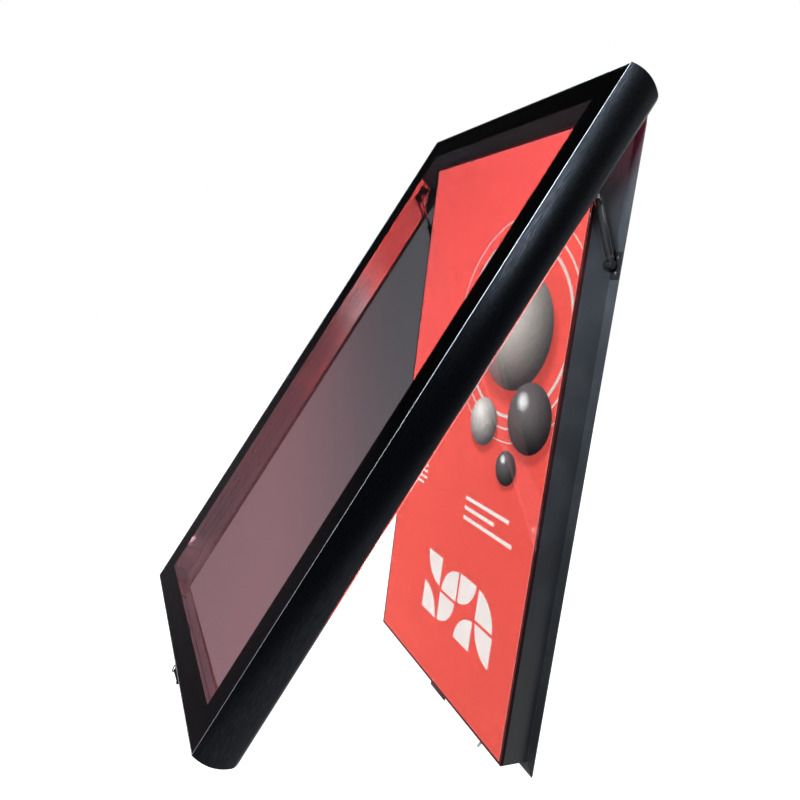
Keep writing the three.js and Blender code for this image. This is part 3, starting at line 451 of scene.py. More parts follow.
def make_glass(name, tint, painted_high_shade=None):
    """Clear or tinted sheet. With a high colour, the colour changes up the pane: painted glow low down,
    painted shade up high.
    """
    tree, shader = finish(name)
    if painted_high_shade:
        place = axes(tree, object_place(tree))
        along = calc(tree, "ADD", place["Z"], calc(tree, "MULTIPLY", place["X"], GLOW_TO_SHADE_SLANT))
        ends = [hood_point(0, HOOD_FRONT, level).z for level in GLOW_TO_SHADE_HEIGHTS]
        share = stretch(tree, along, ends, interpolation_type="SMOOTHSTEP")
        tint = blend_colour(tree, share, tint, painted_high_shade)
    shader.inputs["Transmission Weight"].default_value = 1.0
    shader.inputs["IOR"].default_value = GLASS_INDEX
    shader.inputs["Roughness"].default_value = 0.0
    cover(tree, shader, GLASS_DUST, tint, blend_colour(tree, DUSTY_DARKENING, tint, BLACK))
    rays = node(tree, "ShaderNodeLightPath").outputs
    clear = node(tree, "ShaderNodeBsdfTransparent", {"Color": tint})
    mix_surface(tree, rays["Is Shadow Ray"], shader, clear)


# The pane has a real tint. Its low pink also paints the poster's red glow, and its high grey paints
# shade
make_glass("tinted_glass", colour(156, 117, 125), colour(96, 95, 100))
make_glass("clear_sheet", (0.97, 0.97, 0.975, 1.0))

BORDER_DUST = 0.1
BORDER_CLEAN, BORDER_DUSTY = colour(12, 12, 13), colour(34, 34, 36)
BORDER_ROUGHNESS = (0.2, 0.5)


def make_border_print():
    """Black print round the edge of the pane."""
    tree, shader = finish("border_print", specular=0.06)
    film = cover(tree, shader, BORDER_DUST, BORDER_CLEAN, BORDER_DUSTY)
    link(tree, spread(tree, film, *BORDER_ROUGHNESS), shader, "Roughness")


make_border_print()

# The poster: a plain geometric print on a red ground

POSTER_CENTRE = Vector((0.0, 0.0, (POSTER_HEIGHT / 2 - ORIGIN_HEIGHT) * MM))
POSTER_GLOW = 0.96
POSTER_GLOW_BEHIND_PANE = 12.8
MIRRORED_GLOW_SHARE = 1.6
INK_DARKENING = 0.98
RED_TOP = colour(250, 90, 83)
RED_LOW = colour(233, 82, 69)
SILVER = colour(214, 210, 204)
PALE = colour(248, 238, 234)
PRINT_CRISPNESS = 900.0


def build_disc(tree, given):
    apart = vector(tree, "DISTANCE", given["Place"], given["Centre"])
    inner = calc(tree, "SUBTRACT", given["Radius"], apart)
    return {"Mask": calc(tree, "MULTIPLY", inner, given["Crispness"], clamp=True)}


def build_bar(tree, given):
    away = vector(tree, "ABSOLUTE", vector(tree, "SUBTRACT", given["Place"], given["Centre"]))
    left = vector(tree, "SUBTRACT", given["Half Size"], away)
    parts = axes(tree, left)
    inside = calc(tree, "MINIMUM", parts["X"], parts["Z"])
    return {"Mask": calc(tree, "MULTIPLY", inside, given["Crispness"], clamp=True)}


PRINT_INPUTS = [
    ("Place", VECTOR, (0, 0, 0)), ("Centre", VECTOR, (0, 0, 0)), ("Crispness", FLOAT, PRINT_CRISPNESS)
]
MASK = [("Mask", FLOAT)]
print_disc = group("print_disc", PRINT_INPUTS + [("Radius", FLOAT, 0.1)], MASK, build_disc)
print_bar = group("print_bar", PRINT_INPUTS + [("Half Size", VECTOR, (1, 1, 1))], MASK, build_bar)

# A wide pale sweep: centre x, centre z, radius, crispness, share and colour
SWEEP = (-0.42, 0.5, 0.92, 3.0, 0.12, colour(255, 112, 96))
# Balls: centre x, centre z, radius, light colour, dark colour
BALLS = (
    (0.13, 0.235, 0.118, colour(236, 230, 222), colour(60, 56, 58)),
    (-0.075, 0.165, 0.083, colour(232, 226, 220), colour(52, 50, 54)),
    (0.215, 0.075, 0.07, colour(120, 116, 118), colour(14, 14, 16)),
    (0.06, 0.04, 0.052, colour(240, 234, 228), colour(70, 66, 68)),
    (0.165, -0.035, 0.036, colour(110, 106, 108), colour(12, 12, 14)),
)
# Shades of a ball, in shares of its radius: shift in x, shift in z, radius, width of the edge
BALL_SHADOW = (0.1, -0.22, 1.12, 1 / 6)
BALL_LIGHT = (-0.35, 0.4, 1.45, 1.25)
BALL_SHINE = (-0.38, 0.42, 0.3, 0.2)
SHADOW_SHARE, SHADOW_COLOUR = 0.45, colour(120, 20, 22)
LIGHT_FALL = 1.4
SHINE_SHARE = 0.9
# Thin rings round the first ball: radius and half width
RINGS = ((0.17, 0.0035), (0.195, 0.0022), (0.222, 0.0014))
# Quarter-round tiles in a grid: column, row, corner of the quarter
TILE_SIDE = 0.078
TILE_GAP = 0.003
TILE_ORIGIN = (-0.1, -0.455)
TILES = (
    (0, 0, 0), (1, 0, 3), (2, 0, 1), (3, 0, 2),
    (0, 1, 2), (1, 1, 1), (2, 1, 3), (3, 1, 0),
)
TILE_CORNERS = ((0, 0), (1, 0), (1, 1), (0, 1))
# Short bars: centre x, centre z, half length, half height
BARS = (
    (0.12, -0.135, 0.085, 0.0048), (0.095, -0.157, 0.06, 0.0048), (0.13, -0.179, 0.095, 0.0048),
    (-0.19, -0.1, 0.035, 0.0035), (-0.19, -0.115, 0.035, 0.0035), (-0.19, -0.13, 0.035, 0.0035),
    (-0.19, -0.145, 0.035, 0.0035), (-0.19, -0.16, 0.022, 0.0035),
)
# Bands round the print's edge: distance from its edge and colour. The pale pink band is a painted light
# rim, and the dark red band at the very edge is painted shade where the frame meets the poster. They
# sit slightly left of the middle.
EDGES = ((0.0072, colour(245, 120, 112)), (0.0055, colour(70, 16, 20)))
EDGE_SHIFT = -0.0017
EDGE_CRISPNESS = 2500.0
# Fine print dots and broad bands of light over the print: how many in a metre, and their share
DOTS_PER_METRE, DOT_SHARE = 900.0, 0.03
BANDS_PER_METRE, BAND_SHARE = 2.2, 0.015
BAND_TINT = (1.0, 0.75, 0.7, 1.0)
POSTER_ROUGHNESS = (0.35, 0.5)


def print_colour_and_edge_shade(tree, place):
    """The poster's colour at a place measured from its centre: the printed picture, with painted light
    and shade along its edge.
    """
    flat = vector(tree, "MULTIPLY", place, (1.0, 0.0, 1.0))
    height = axes(tree, flat)["Z"]
    half_width, half_height = POSTER_WIDTH / 2 * MM, POSTER_HEIGHT / 2 * MM
    paint = blend_colour(tree, stretch(tree, height, (-half_height, half_height)), RED_LOW, RED_TOP)

    def lay(mask, ink):
        return blend_colour(tree, mask, paint, ink)

    def disc(x, z, radius, crispness=PRINT_CRISPNESS):
        sizes = {"Centre": (x, 0.0, z), "Radius": radius, "Crispness": crispness}
        return use(tree, print_disc, Place=flat, **sizes)["Mask"]

    def bar(x, z, half_length, half_rise, crispness=PRINT_CRISPNESS):
        half = (half_length, 1.0, half_rise)
        sizes = {"Centre": (x, 0.0, z), "Half Size": half, "Crispness": crispness}
        return use(tree, print_bar, Place=flat, **sizes)["Mask"]

    def shade(x, z, radius, part):
        shift_x, shift_z, reach, edge = part
        return disc(x + shift_x * radius, z + shift_z * radius, reach * radius, 1 / (edge * radius))

    x, z, radius, crispness, share, ink = SWEEP
    paint = lay(calc(tree, "MULTIPLY", disc(x, z, radius, crispness), share), ink)
    for radius, half in RINGS:
        outer, inner = (disc(BALLS[0][0], BALLS[0][1], radius + side * half) for side in (1, -1))
        paint = lay(calc(tree, "SUBTRACT", outer, inner, clamp=True), SILVER)
    for x, z, radius, light, dark in BALLS:
        shadow = shade(x, z, radius, BALL_SHADOW)
        paint = lay(calc(tree, "MULTIPLY", shadow, SHADOW_SHARE), SHADOW_COLOUR)
        lit = calc(tree, "POWER", shade(x, z, radius, BALL_LIGHT), LIGHT_FALL)
        shine = calc(tree, "MULTIPLY", shade(x, z, radius, BALL_SHINE), SHINE_SHARE)
        body = blend_colour(tree, shine, blend_colour(tree, lit, dark, light), WHITE)
        paint = lay(disc(x, z, radius), body)
    for column, row, corner in TILES:
        left = TILE_ORIGIN[0] + column * TILE_SIDE
        low = TILE_ORIGIN[1] + row * TILE_SIDE
        half = TILE_SIDE / 2
        square = bar(left + half, low + half, half - TILE_GAP, half - TILE_GAP)
        x_share, z_share = TILE_CORNERS[corner]
        quarter = disc(left + x_share * TILE_SIDE, low + z_share * TILE_SIDE, TILE_SIDE - 2 * TILE_GAP)
        paint = lay(calc(tree, "MULTIPLY", square, quarter), PALE)
    for place_and_size in BARS:
        paint = lay(bar(*place_and_size), PALE)
    # Painted light rim and painted shade along the poster's edge
    for inset, ink in EDGES:
        inside = bar(EDGE_SHIFT, 0.0, half_width - inset, half_height - inset, EDGE_CRISPNESS)
        paint = blend_colour(tree, inside, ink, paint)
    return paint


def make_poster():
    tree, shader = finish("poster_print", specular=0.05)
    place = vector(tree, "SUBTRACT", object_place(tree), POSTER_CENTRE)
    paint = print_colour_and_edge_shade(tree, place)
    dots = noise(tree, place, DOTS_PER_METRE, detail=1.0)
    bands = noise(tree, place, BANDS_PER_METRE, detail=1.0)
    paint = blend_colour(tree, calc(tree, "MULTIPLY", dots, DOT_SHARE), paint, BLACK)
    paint = blend_colour(tree, calc(tree, "MULTIPLY", bands, BAND_SHARE), paint, BAND_TINT, "SCREEN")
    link(tree, paint, shader, "Emission Color")
    # The lit print is far brighter than the room. The clear sheet over it counts for two passes,
    # and the tinted pane for two more. Seen in a mirroring surface it shows its full glow too.
    rays = node(tree, "ShaderNodeLightPath").outputs
    passes = calc(tree, "SUBTRACT", rays["Transmission Depth"], 2.0)
    behind_pane = calc(tree, "MULTIPLY", passes, 0.5, clamp=True)
    bounced = calc(tree, "MINIMUM", rays["Glossy Depth"], 1.0)
    mirrored = calc(tree, "MULTIPLY", bounced, MIRRORED_GLOW_SHARE)
    unscattered = calc(tree, "SUBTRACT", 1.0, rays["Diffuse Depth"], clamp=True)
    full = calc(tree, "MULTIPLY", calc(tree, "ADD", behind_pane, mirrored), unscattered)
    extra = calc(tree, "MULTIPLY", full, POSTER_GLOW_BEHIND_PANE - POSTER_GLOW)
    link(tree, calc(tree, "ADD", extra, POSTER_GLOW), shader, "Emission Strength")
    link(tree, blend_colour(tree, INK_DARKENING, paint, BLACK), shader, "Base Color")
    link(tree, spread(tree, dots, *POSTER_ROUGHNESS), shader, "Roughness")


make_poster()

# Meshes and pieces

SMOOTH_ANGLE = 32.0
WELD = 1e-6
# How a CAD node's mesh is cleaned before its edges are bevelled
CAD_WELD = 1e-5
FLAT_ANGLE = math.radians(0.5)
SHARP_ANGLE = math.radians(35)
LEAST_TURN = 25.0
LONGEST_SHARE = 1 / 2.2
ROUND_SIDES = 48


def mesh_of(name, points, faces):
    mesh = bpy.data.meshes.new(name)
    mesh.from_pydata([tuple(p) for p in points], [], faces)
    return mesh


def placed(name, data):
    made = bpy.data.objects.new(name, data)
    bpy.context.scene.collection.objects.link(made)
    return made


def piece(name, body, slot, look, points, faces, smooth_angle=SMOOTH_ANGLE):
    return piece_of_mesh(name, body, look, mesh_of(name, points, faces), smooth_angle)


def piece_of_mesh(name, body, look, mesh, smooth_angle=SMOOTH_ANGLE):
    work = bmesh.new()
    work.from_mesh(mesh)
    bmesh.ops.remove_doubles(work, verts=work.verts, dist=WELD)
    bmesh.ops.recalc_face_normals(work, faces=work.faces)
    work.to_mesh(mesh)
    work.free()
    mesh.polygons.foreach_set("use_smooth", [True] * len(mesh.polygons))
    mesh.set_sharp_from_angle(angle=math.radians(smooth_angle))
    mesh.materials.clear()
    mesh.materials.append(looks[look])
    made = placed(name, mesh)
    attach(made, body)
    return made


def dressed(node_name, look, bevel):
    """A copy of a CAD node with welded corners, bevelled edges and smooth rounds, in its place."""
    source = frame["nodes"][node_name]
    work = bmesh.new()
    work.from_mesh(source.data)
    bmesh.ops.remove_doubles(work, verts=work.verts, dist=CAD_WELD)
    bmesh.ops.dissolve_limit(work, angle_limit=FLAT_ANGLE, verts=work.verts, edges=work.edges)
    edges = [e for e in work.edges if len(e.link_faces) == 2 and e.calc_face_angle() > SHARP_ANGLE]
    bmesh.ops.bevel(
        work, geom=edges, offset=bevel * MM, segments=2, profile=0.5, affect="EDGES", clamp_overlap=True
    )
    mesh = bpy.data.meshes.new(node_name + "_dressed")
    work.to_mesh(mesh)
    work.free()
    made = piece_of_mesh(node_name + "_dressed", source["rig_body"], look, mesh)
    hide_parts(node_name)


def rounded(section, radius):
    """A closed outline with each sharp corner turned into an arc."""
    result = []
    count = len(section)
    for index, corner in enumerate(section):
        here = Vector(corner)
        before = Vector(section[index - 1]) - here
        after = Vector(section[(index + 1) % count]) - here
        turn = math.pi - before.angle(after)
        if math.degrees(turn) < LEAST_TURN:
            result.append(here)
            continue
        longest = min(before.length, after.length) * LONGEST_SHARE
        reach = min(radius * math.tan(turn / 2), longest)
        start = here + before.normalized() * reach
        end = here + after.normalized() * reach
        for step in range(BEND_STEPS + 1):
            share = step / BEND_STEPS
            result.append(start.lerp(here, share).lerp(here.lerp(end, share), share))
    return result


def mitred_frame(side, half_width, half_height, middle, front, section, point):
    """One rail of a rectangular frame. The section is a list of (out, depth) points."""
    upright = side in ("left", "right")
    sign = -1 if side in ("left", "bottom") else 1
    across = half_width if upright else half_height
    along = (half_height if upright else half_width) - MITRE_GAP
    rings = []
    for end in (-1, 1):
        ring = []
        for out, depth in section:
            outward, lengthwise = sign * (across + out), end * (along + out)
            x, z = (outward, lengthwise) if upright else (lengthwise, outward)
            ring.append(point(x, front + depth, middle + z))
        rings.append(ring)
    count = len(section)
    points = rings[0] + rings[1]
    faces = [(k, (k + 1) % count, count + (k + 1) % count, count + k) for k in range(count)]
    faces += [tuple(range(count)), tuple(range(2 * count - 1, count - 1, -1))]
    return points, faces


def cabinet_frame(side, section):
    half_height = POSTER_HEIGHT / 2
    return mitred_frame(side, POSTER_WIDTH / 2, half_height, half_height, 0.0, section, cabinet_point)


def hood_frame(side, section):
    return mitred_frame(
        side, HOOD_WIDTH / 2, HOOD_LENGTH / 2, HOOD_MIDDLE, HOOD_FRONT, section, hood_point
    )


def turned(profile, base, axis, sides=ROUND_SIDES):
    """Points and faces of a turned piece. The profile is a list of (radius, distance along)."""
    axis = Vector(axis).normalized()
    first = axis.orthogonal().normalized()
    second = axis.cross(first)
    points, faces = [], []
    for radius, along in profile:
        for step in range(sides):
            angle = 2 * math.pi * step / sides
            out = first * math.cos(angle) + second * math.sin(angle)
            points.append(Vector(base) + (axis * along + out * radius) * MM)
    for ring in range(len(profile) - 1):
        for step in range(sides):
            low, next_low = ring * sides + step, ring * sides + (step + 1) % sides
            faces.append((low, next_low, next_low + sides, low + sides))
    faces.append(tuple(reversed(range(sides))))
    last = (len(profile) - 1) * sides
    faces.append(tuple(range(last, last + sides)))
    return points, faces


def joined(parts):
    points, faces = [], []
    for more_points, more_faces in parts:
        offset = len(points)
        points += more_points
        faces += [tuple(index + offset for index in face) for face in more_faces]
    return points, faces


def cut_away(made, name, mesh):
    """Cuts the shape of a mesh out of an object."""
    tool = placed(name, mesh)
    change = made.modifiers.new(name, "BOOLEAN")
    change.operation = "DIFFERENCE"
    change.solver = "EXACT"
    change.object = tool
    bpy.context.view_layer.update()
    cut = made.evaluated_get(bpy.context.evaluated_depsgraph_get())
    fresh = bpy.data.meshes.new_from_object(cut)
    made.modifiers.clear()
    made.data = fresh
    bpy.data.objects.remove(tool)


def cut_round(made, start, end, radius):
    """Cuts a round hole through a piece, between two points. The radius is in millimetres."""
    profile = [(radius, 0.0), (radius, (end - start).length / MM)]
    cut_away(made, "cutter", mesh_of("cutter", *turned(profile, start, end - start)))


# Cabinet rails

GLAND_PLACE, GLAND_DEPTH, GLAND_HOLE = 205.0, 34.0, 6.3
SPOUT_PLACE, SPOUT_DEPTH, SPOUT_HOLE = 218.0, 11.5, 2.8
SPOUT_LEAN = math.radians(38)
HOLE_REACH = 5.0


def cabinet_section(flange):
    back = CABINET_DEPTH + SHEET_METAL
    outline = [
        (0.0, RAIL_FRONT), (0.0, CABINET_DEPTH), (flange, CABINET_DEPTH), (flange, back),
        (-SHEET_METAL, back), (-SHEET_METAL, RAIL_FRONT + SHEET_METAL),
        (-FRONT_LIP, RAIL_FRONT + SHEET_METAL), (-FRONT_LIP, RAIL_FRONT),
    ]
    return rounded(outline, BEND_RADIUS / 2)


for side in SIDES:
    flange = TOP_FLANGE_WIDTH if side == "top" else FLANGE_WIDTH
    points, faces = cabinet_frame(side, cabinet_section(flange))
    if side in ("left", "right"):
        highest = cabinet_point(0, 0, POSTER_HEIGHT + TOP_FLANGE_WIDTH).z
        for p in points:
            p.z = min(p.z, highest)
    rail = piece(f"cabinet_{side}", "cabinet", "powder_coat", "powder_coat", points, faces)
    if side == "bottom":
        lean = Vector((0, math.sin(SPOUT_LEAN), math.cos(SPOUT_LEAN))) * HOLE_REACH * MM
        spout = cabinet_point(SPOUT_PLACE, SPOUT_DEPTH, 0)
        rise = Vector((0, 0, HOLE_REACH * MM))
        gland = cabinet_point(GLAND_PLACE, GLAND_DEPTH, 0)
        cut_round(rail, gland - rise, gland + rise, GLAND_HOLE)
        cut_round(rail, spout - lean, spout + lean, SPOUT_HOLE)
    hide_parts(f"cabinet_rail_{side}")

# Hood rails

CROWN_RADIUS = CROWN_CHORD ** 2 / 8 / CROWN_RISE + CROWN_RISE / 2
CROWN_HALF_ANGLE = math.asin(CROWN_CHORD / 2 / CROWN_RADIUS)
# The rounded rear edge runs on from the crown without a kink
REAR_TURN = 2 * (math.atan2(REAR_INSET, REAR_REACH) - CROWN_HALF_ANGLE)
REAR_RADIUS = math.hypot(REAR_INSET, REAR_REACH) / 2 / math.sin(REAR_TURN / 2)
HOOD_SMOOTH_ANGLE = 28.0
LOCK_PLACE, LOCK_DEPTH, LOCK_HOLE = -30.0, 15.5, 8.3


def crown_point(share):
    angle = (2 * share - 1) * CROWN_HALF_ANGLE
    return (
        CROWN_RISE - CROWN_RADIUS + CROWN_RADIUS * math.cos(angle),
        CROWN_CHORD / 2 + CROWN_RADIUS * math.sin(angle),
    )


def wall_depth(share):
    """The depth at a share of the inner wall's way from the shelf to the rear."""
    return SHELF_BACK + share * (INNER_WALL_DEPTH - SHELF_BACK)


def groove_points():
    points = []
    for share in GROOVE_DEPTH_SHARES:
        depth = wall_depth(share)
        points += [
            (-INNER_WALL_INSET, depth - GROOVE_HALF),
            (-INNER_WALL_INSET + GROOVE_DEPTH, depth),
            (-INNER_WALL_INSET, depth + GROOVE_HALF),
        ]
    return points


def hood_section():
    points = [(-GLASS_LIP, LIP_EDGE / 2), (-GLASS_LIP + LIP_EDGE, 0.0), (-CROWN_START, 0.0)]
    points += [crown_point(step / CROWN_STEPS) for step in range(CROWN_STEPS + 1)]
    for step in range(1, REAR_STEPS + 1):
        angle = CROWN_HALF_ANGLE + step / REAR_STEPS * REAR_TURN
        points.append((
            REAR_RADIUS * (math.cos(angle) - math.cos(CROWN_HALF_ANGLE)),
            CROWN_CHORD + REAR_RADIUS * (math.sin(angle) - math.sin(CROWN_HALF_ANGLE)),
        ))
    points.append((-INNER_WALL_INSET, INNER_WALL_DEPTH))
    points += reversed(groove_points())
    points += [
        (-INNER_WALL_INSET, SHELF_BACK), (-SHELF_WIDTH, SHELF_BACK),
        (-SHELF_WIDTH, SHELF_FRONT), (-GLASS_LIP, SHELF_FRONT),
    ]
    return points


for side in SIDES:
    shape = hood_frame(side, hood_section())
    rail = piece(f"hood_{side}", "hood", "brushed_black", "brushed_black", *shape, HOOD_SMOOTH_ANGLE)
    if side == "bottom":
        low = hood_point(LOCK_PLACE, LOCK_DEPTH, HOOD_BOTTOM - CROWN_RISE - HOLE_REACH)
        high = hood_point(LOCK_PLACE, LOCK_DEPTH, HOOD_BOTTOM + INNER_WALL_INSET + HOLE_REACH)
        cut_round(rail, low, high, LOCK_HOLE)
    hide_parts(f"hood_rail_{side}")

# The rails' inner walls are left satin, with grooves and fine ribs along them. The ribs are pale, which
# paints thin highlight lines along the walls

FACE_CLEAR = 0.03
FACE_METAL = 0.2
FACE_SMOOTH_ANGLE = 20.0
FACE_START = 0.1
STRIP_START, STRIP_INSET, STRIP_END = 0.05, 0.3, 0.6
FACE_OUTLINE = [
    (-INNER_WALL_INSET, SHELF_BACK + FACE_START), *groove_points(),
    (-INNER_WALL_INSET, INNER_WALL_DEPTH),
]
REAR_STRIP = [
    (-INNER_WALL_INSET, INNER_WALL_DEPTH + STRIP_START),
    (-REAR_INSET - STRIP_INSET, HOOD_DEPTH - STRIP_END),
]
RIB_HALF = 0.35
RIB_RISE = 0.25
RIB_SHARES = (0.2, 0.4, 0.6, 0.8)
RIB_FOOT = -INNER_WALL_INSET - FACE_CLEAR
RIB_SECTIONS = [
    [(RIB_FOOT, depth - RIB_HALF), (RIB_FOOT - RIB_RISE, depth), (RIB_FOOT, depth + RIB_HALF)]
    for depth in map(wall_depth, RIB_SHARES)
]

for side in SIDES:
    ribs = [hood_frame(side, section) for section in RIB_SECTIONS]
    piece(f"inner_ribs_{side}", "hood", "aluminium", "bright_edge", *joined(ribs))
    face_look = "inner_pale" if side == "top" else "inner_satin"
    for name, outline, look in (
        (f"inner_face_{side}", FACE_OUTLINE, face_look),
        (f"rear_strip_{side}", REAR_STRIP, "inner_edging"),
    ):
        near = [(out - FACE_CLEAR, depth) for out, depth in outline]
        far = [(out - FACE_METAL, depth) for out, depth in outline]
        sheet = hood_frame(side, near + far[::-1])
        piece(name, "hood", "aluminium", look, *sheet, FACE_SMOOTH_ANGLE)

# A thin pale bead along the glass edge, on each rail's front lip. It paints the highlight along the
# frame's edge

BEAD_WIDTH = 1.0
BEAD_HEIGHT = 0.4
BEAD_SLOPE = 0.2
BEAD_SUNK = 0.1
BEAD = [
    (-GLASS_LIP, BEAD_SUNK),
    (-GLASS_LIP + BEAD_SLOPE, -BEAD_HEIGHT),
    (-GLASS_LIP + BEAD_WIDTH - BEAD_SLOPE, -BEAD_HEIGHT),
    (-GLASS_LIP + BEAD_WIDTH, BEAD_SUNK),
]
for side in SIDES:
    piece(f"edge_bead_{side}", "hood", "brushed_black", "bright_edge", *hood_frame(side, BEAD))

# A dark edging round the sheets' edges

EDGING_METAL = 0.42
EDGING_DEPTH = 6.35
EDGING_ROUND = 0.1
EDGING_LIFT = 0.05
EDGING = [
    (-EDGING_METAL, EDGING_LIFT), (-EDGING_METAL + EDGING_ROUND, -EDGING_LIFT),
    (-EDGING_ROUND, -EDGING_LIFT), (0.0, EDGING_ROUND),
    (0.0, EDGING_DEPTH), (-EDGING_METAL, EDGING_DEPTH),
]
for side in SIDES:
    shape = cabinet_frame(side, EDGING)
    piece(f"sheet_edging_{side}", "cabinet", "black_plastic", "sheet_edging", *shape)

# Screws: a domed head with a cross recess

SCREW_RISE = 1.5
SCREW_RIM = 0.12 * SCREW_RISE
SCREW_SUNK = 0.2
SCREW_TIP = 0.02
SCREW_STEPS = 6
SCREW_SIDES = 24
SCREW_SMOOTH_ANGLE = 40.0
# The recess: length and width as shares of the head's radius, then its height and place up the head
RECESS_LENGTH, RECESS_WIDTH = 1.15, 0.26
RECESS_HEIGHT, RECESS_PLACE = 1.6 * SCREW_RISE, 1.3 * SCREW_RISE


def screw_mesh(radius):
    profile = [(radius, -SCREW_SUNK), (radius, SCREW_RIM)]
    for step in range(1, SCREW_STEPS + 1):
        angle = step / SCREW_STEPS * math.pi / 2
        reach = max(radius * math.cos(angle), SCREW_TIP)
        profile.append((reach, SCREW_RIM + SCREW_RISE * math.sin(angle)))
    points, faces = turned(profile, (0, 0, 0), (0, 0, 1), SCREW_SIDES)
    head = placed("screw", mesh_of("screw", points, faces))
    sizes = [RECESS_LENGTH * radius, RECESS_WIDTH * radius, RECESS_HEIGHT]
    size = Matrix.Diagonal((*(MM * length for length in sizes), 1.0))
    lift = Matrix.Translation((0, 0, RECESS_PLACE * MM))
    for turn in (0.0, math.pi / 2):
        arm = bpy.data.meshes.new("recess")
        work = bmesh.new()
        bmesh.ops.create_cube(work, size=1.0)
        bmesh.ops.transform(work, matrix=Matrix.Rotation(turn, 4, "Z") @ lift @ size, verts=work.verts)
        work.to_mesh(arm)
        work.free()
        cut_away(head, "recess", arm)
    shape = head.data
    bpy.data.objects.remove(head)
    return shape


CORNER_SCREW_RADIUS = 3.4
STRUT_SCREW_RADIUS = 3.2
screw_shapes = {radius: screw_mesh(radius) for radius in (CORNER_SCREW_RADIUS, STRUT_SCREW_RADIUS)}


def screws(name, body, places, radius, look="screw_steel"):
    """Screws at (point, outward direction, turn of the recess)."""
    unit = screw_shapes[radius]
    parts = []
    for point, out, turn in places:
        aim = Vector(out).to_track_quat("Z", "Y").to_matrix().to_4x4()
        move = Matrix.Translation(point) @ aim @ Matrix.Rotation(turn, 4, "Z")
        parts.append(([move @ v.co for v in unit.vertices], [tuple(f.vertices) for f in unit.polygons]))
    piece(name, body, "bright_steel", look, *joined(parts), SCREW_SMOOTH_ANGLE)


# Corner brackets of the hood

CORNER_LEG = 88.0
CORNER_FRONT, CORNER_BACK, CORNER_METAL = 14.0, 58.0, 2.0
CORNER_SCREW_SHARES = (0.35, 0.8)
CORNER_ROW_SHARES = (0.25, 0.75)
CORNER_BEVEL = 0.35
# The screws' recesses are turned to different angles
SCREW_TURN, SECOND_LEG_TURN = 1.3, 0.6
WALL_GAP = 0.3
WALL_INSET = INNER_WALL_INSET + WALL_GAP

corner_face = WALL_INSET + CORNER_METAL
for name, (x_sign, z_sign) in CORNERS.items():
    edge = HOOD_BOTTOM if z_sign > 0 else HOOD_TOP
    wall = x_sign * HOOD_WIDTH / 2
    places = []
    for share in CORNER_SCREW_SHARES:
        for row in CORNER_ROW_SHARES:
            depth = HOOD_FRONT + CORNER_FRONT + row * (CORNER_BACK - CORNER_FRONT)
            reach = WALL_INSET + share * CORNER_LEG
            turn = SCREW_TURN * len(places)
            places.append((
                hood_point(wall - x_sign * corner_face, depth, edge + z_sign * reach),
                hood_direction(-x_sign, 0, 0), turn,
            ))
            places.append((
                hood_point(wall - x_sign * reach, depth, edge + z_sign * corner_face),
                hood_direction(0, 0, z_sign), turn + SECOND_LEG_TURN,
            ))
    screws(f"corner_screws_{name}", "hood", places, CORNER_SCREW_RADIUS)
    dressed(f"corner_bracket_{name}", "dull_aluminium", CORNER_BEVEL)

# Gas struts

foot_y, foot_z = STRUT_FOOT
head_y, head_z = opened(*STRUT_HEAD)
strut_length = math.hypot(head_y - foot_y, head_z - foot_z)
strut_axis = Vector((0, head_y - foot_y, head_z - foot_z)).normalized()

# The tube's outline: how far inside its radius, and how far from its start or before its end
TUBE_FOOT_RADIUS = 2.2
TUBE_START = ((1.4, 0.0), (0.5, 0.5), (0.0, 1.5), (0.0, 6.0), (0.5, 7.0), (0.0, 8.0))
TUBE_END = ((0.0, 14.0), (0.7, 12.8), (0.7, 12.0), (0.0, 10.8), (0.0, 2.4), (0.4, 1.1), (1.3, 0.2))
# Round the rod the tube has a flat rim and a narrow mouth
RIM_REACH, MOUTH_GAP, MOUTH_DEPTH = 1.2, 0.35, 3.0
TUBE_PROFILE = [
    (TUBE_FOOT_RADIUS, CYLINDER_START),
    *((STRUT_RADIUS - inset, CYLINDER_START + along) for inset, along in TUBE_START),
    *((STRUT_RADIUS - inset, CYLINDER_END - along) for inset, along in TUBE_END),
    (ROD_RADIUS + RIM_REACH, CYLINDER_END),
    (ROD_RADIUS + MOUTH_GAP, CYLINDER_END),
    (ROD_RADIUS + MOUTH_GAP, CYLINDER_END - MOUTH_DEPTH),
]
ROD_REACH = 40.0
ROD_EDGE = 0.3
EYE_NECK = 9.0
rod_start, rod_end = CYLINDER_END - ROD_REACH, strut_length - EYE_NECK - ROD_EDGE
ROD_PROFILE = [
    (ROD_RADIUS - ROD_EDGE, rod_start), (ROD_RADIUS, rod_start + ROD_EDGE), (ROD_RADIUS, rod_end),
]
# Lock ring: how far before the rod's end. Cap: how far inwards of the strut's middle.
RING_PLACE = 2.4
RING_PROFILE = ((3.2, -2.2), (4.2, -1.9), (4.6, -1.2), (4.6, 1.2), (4.2, 1.8), (3.2, 2.0))
CAP_PLACE = 2.5
CAP_PROFILE = ((2.6, 0.0), (2.6, 0.5), (2.2, 1.0), (1.2, 1.3), (0.05, 1.4))
# Foot bracket: its plate's middle beyond the flange's, its metal, and its screws above and below
FOOT_PLATE_SHIFT, FOOT_PLATE_METAL = 1.0, 1.7
FOOT_SCREW_REACH, FOOT_SCREW_TURN = 12.9, 0.4
# Head bracket: its metal, and the field that its screws lie in, in depth and in height
HEAD_PLATE_METAL = 2.0
HEAD_FIELD_DEPTH, HEAD_FIELD_HEIGHT, HEAD_FIELD_START = 20, 30, 4
HEAD_SCREW_SHARES = (0.22, 0.78)
STRUT_BEVELS = {"socket": 0.3, "eye": 0.3, "foot_bracket": 0.25, "head_bracket": 0.25}

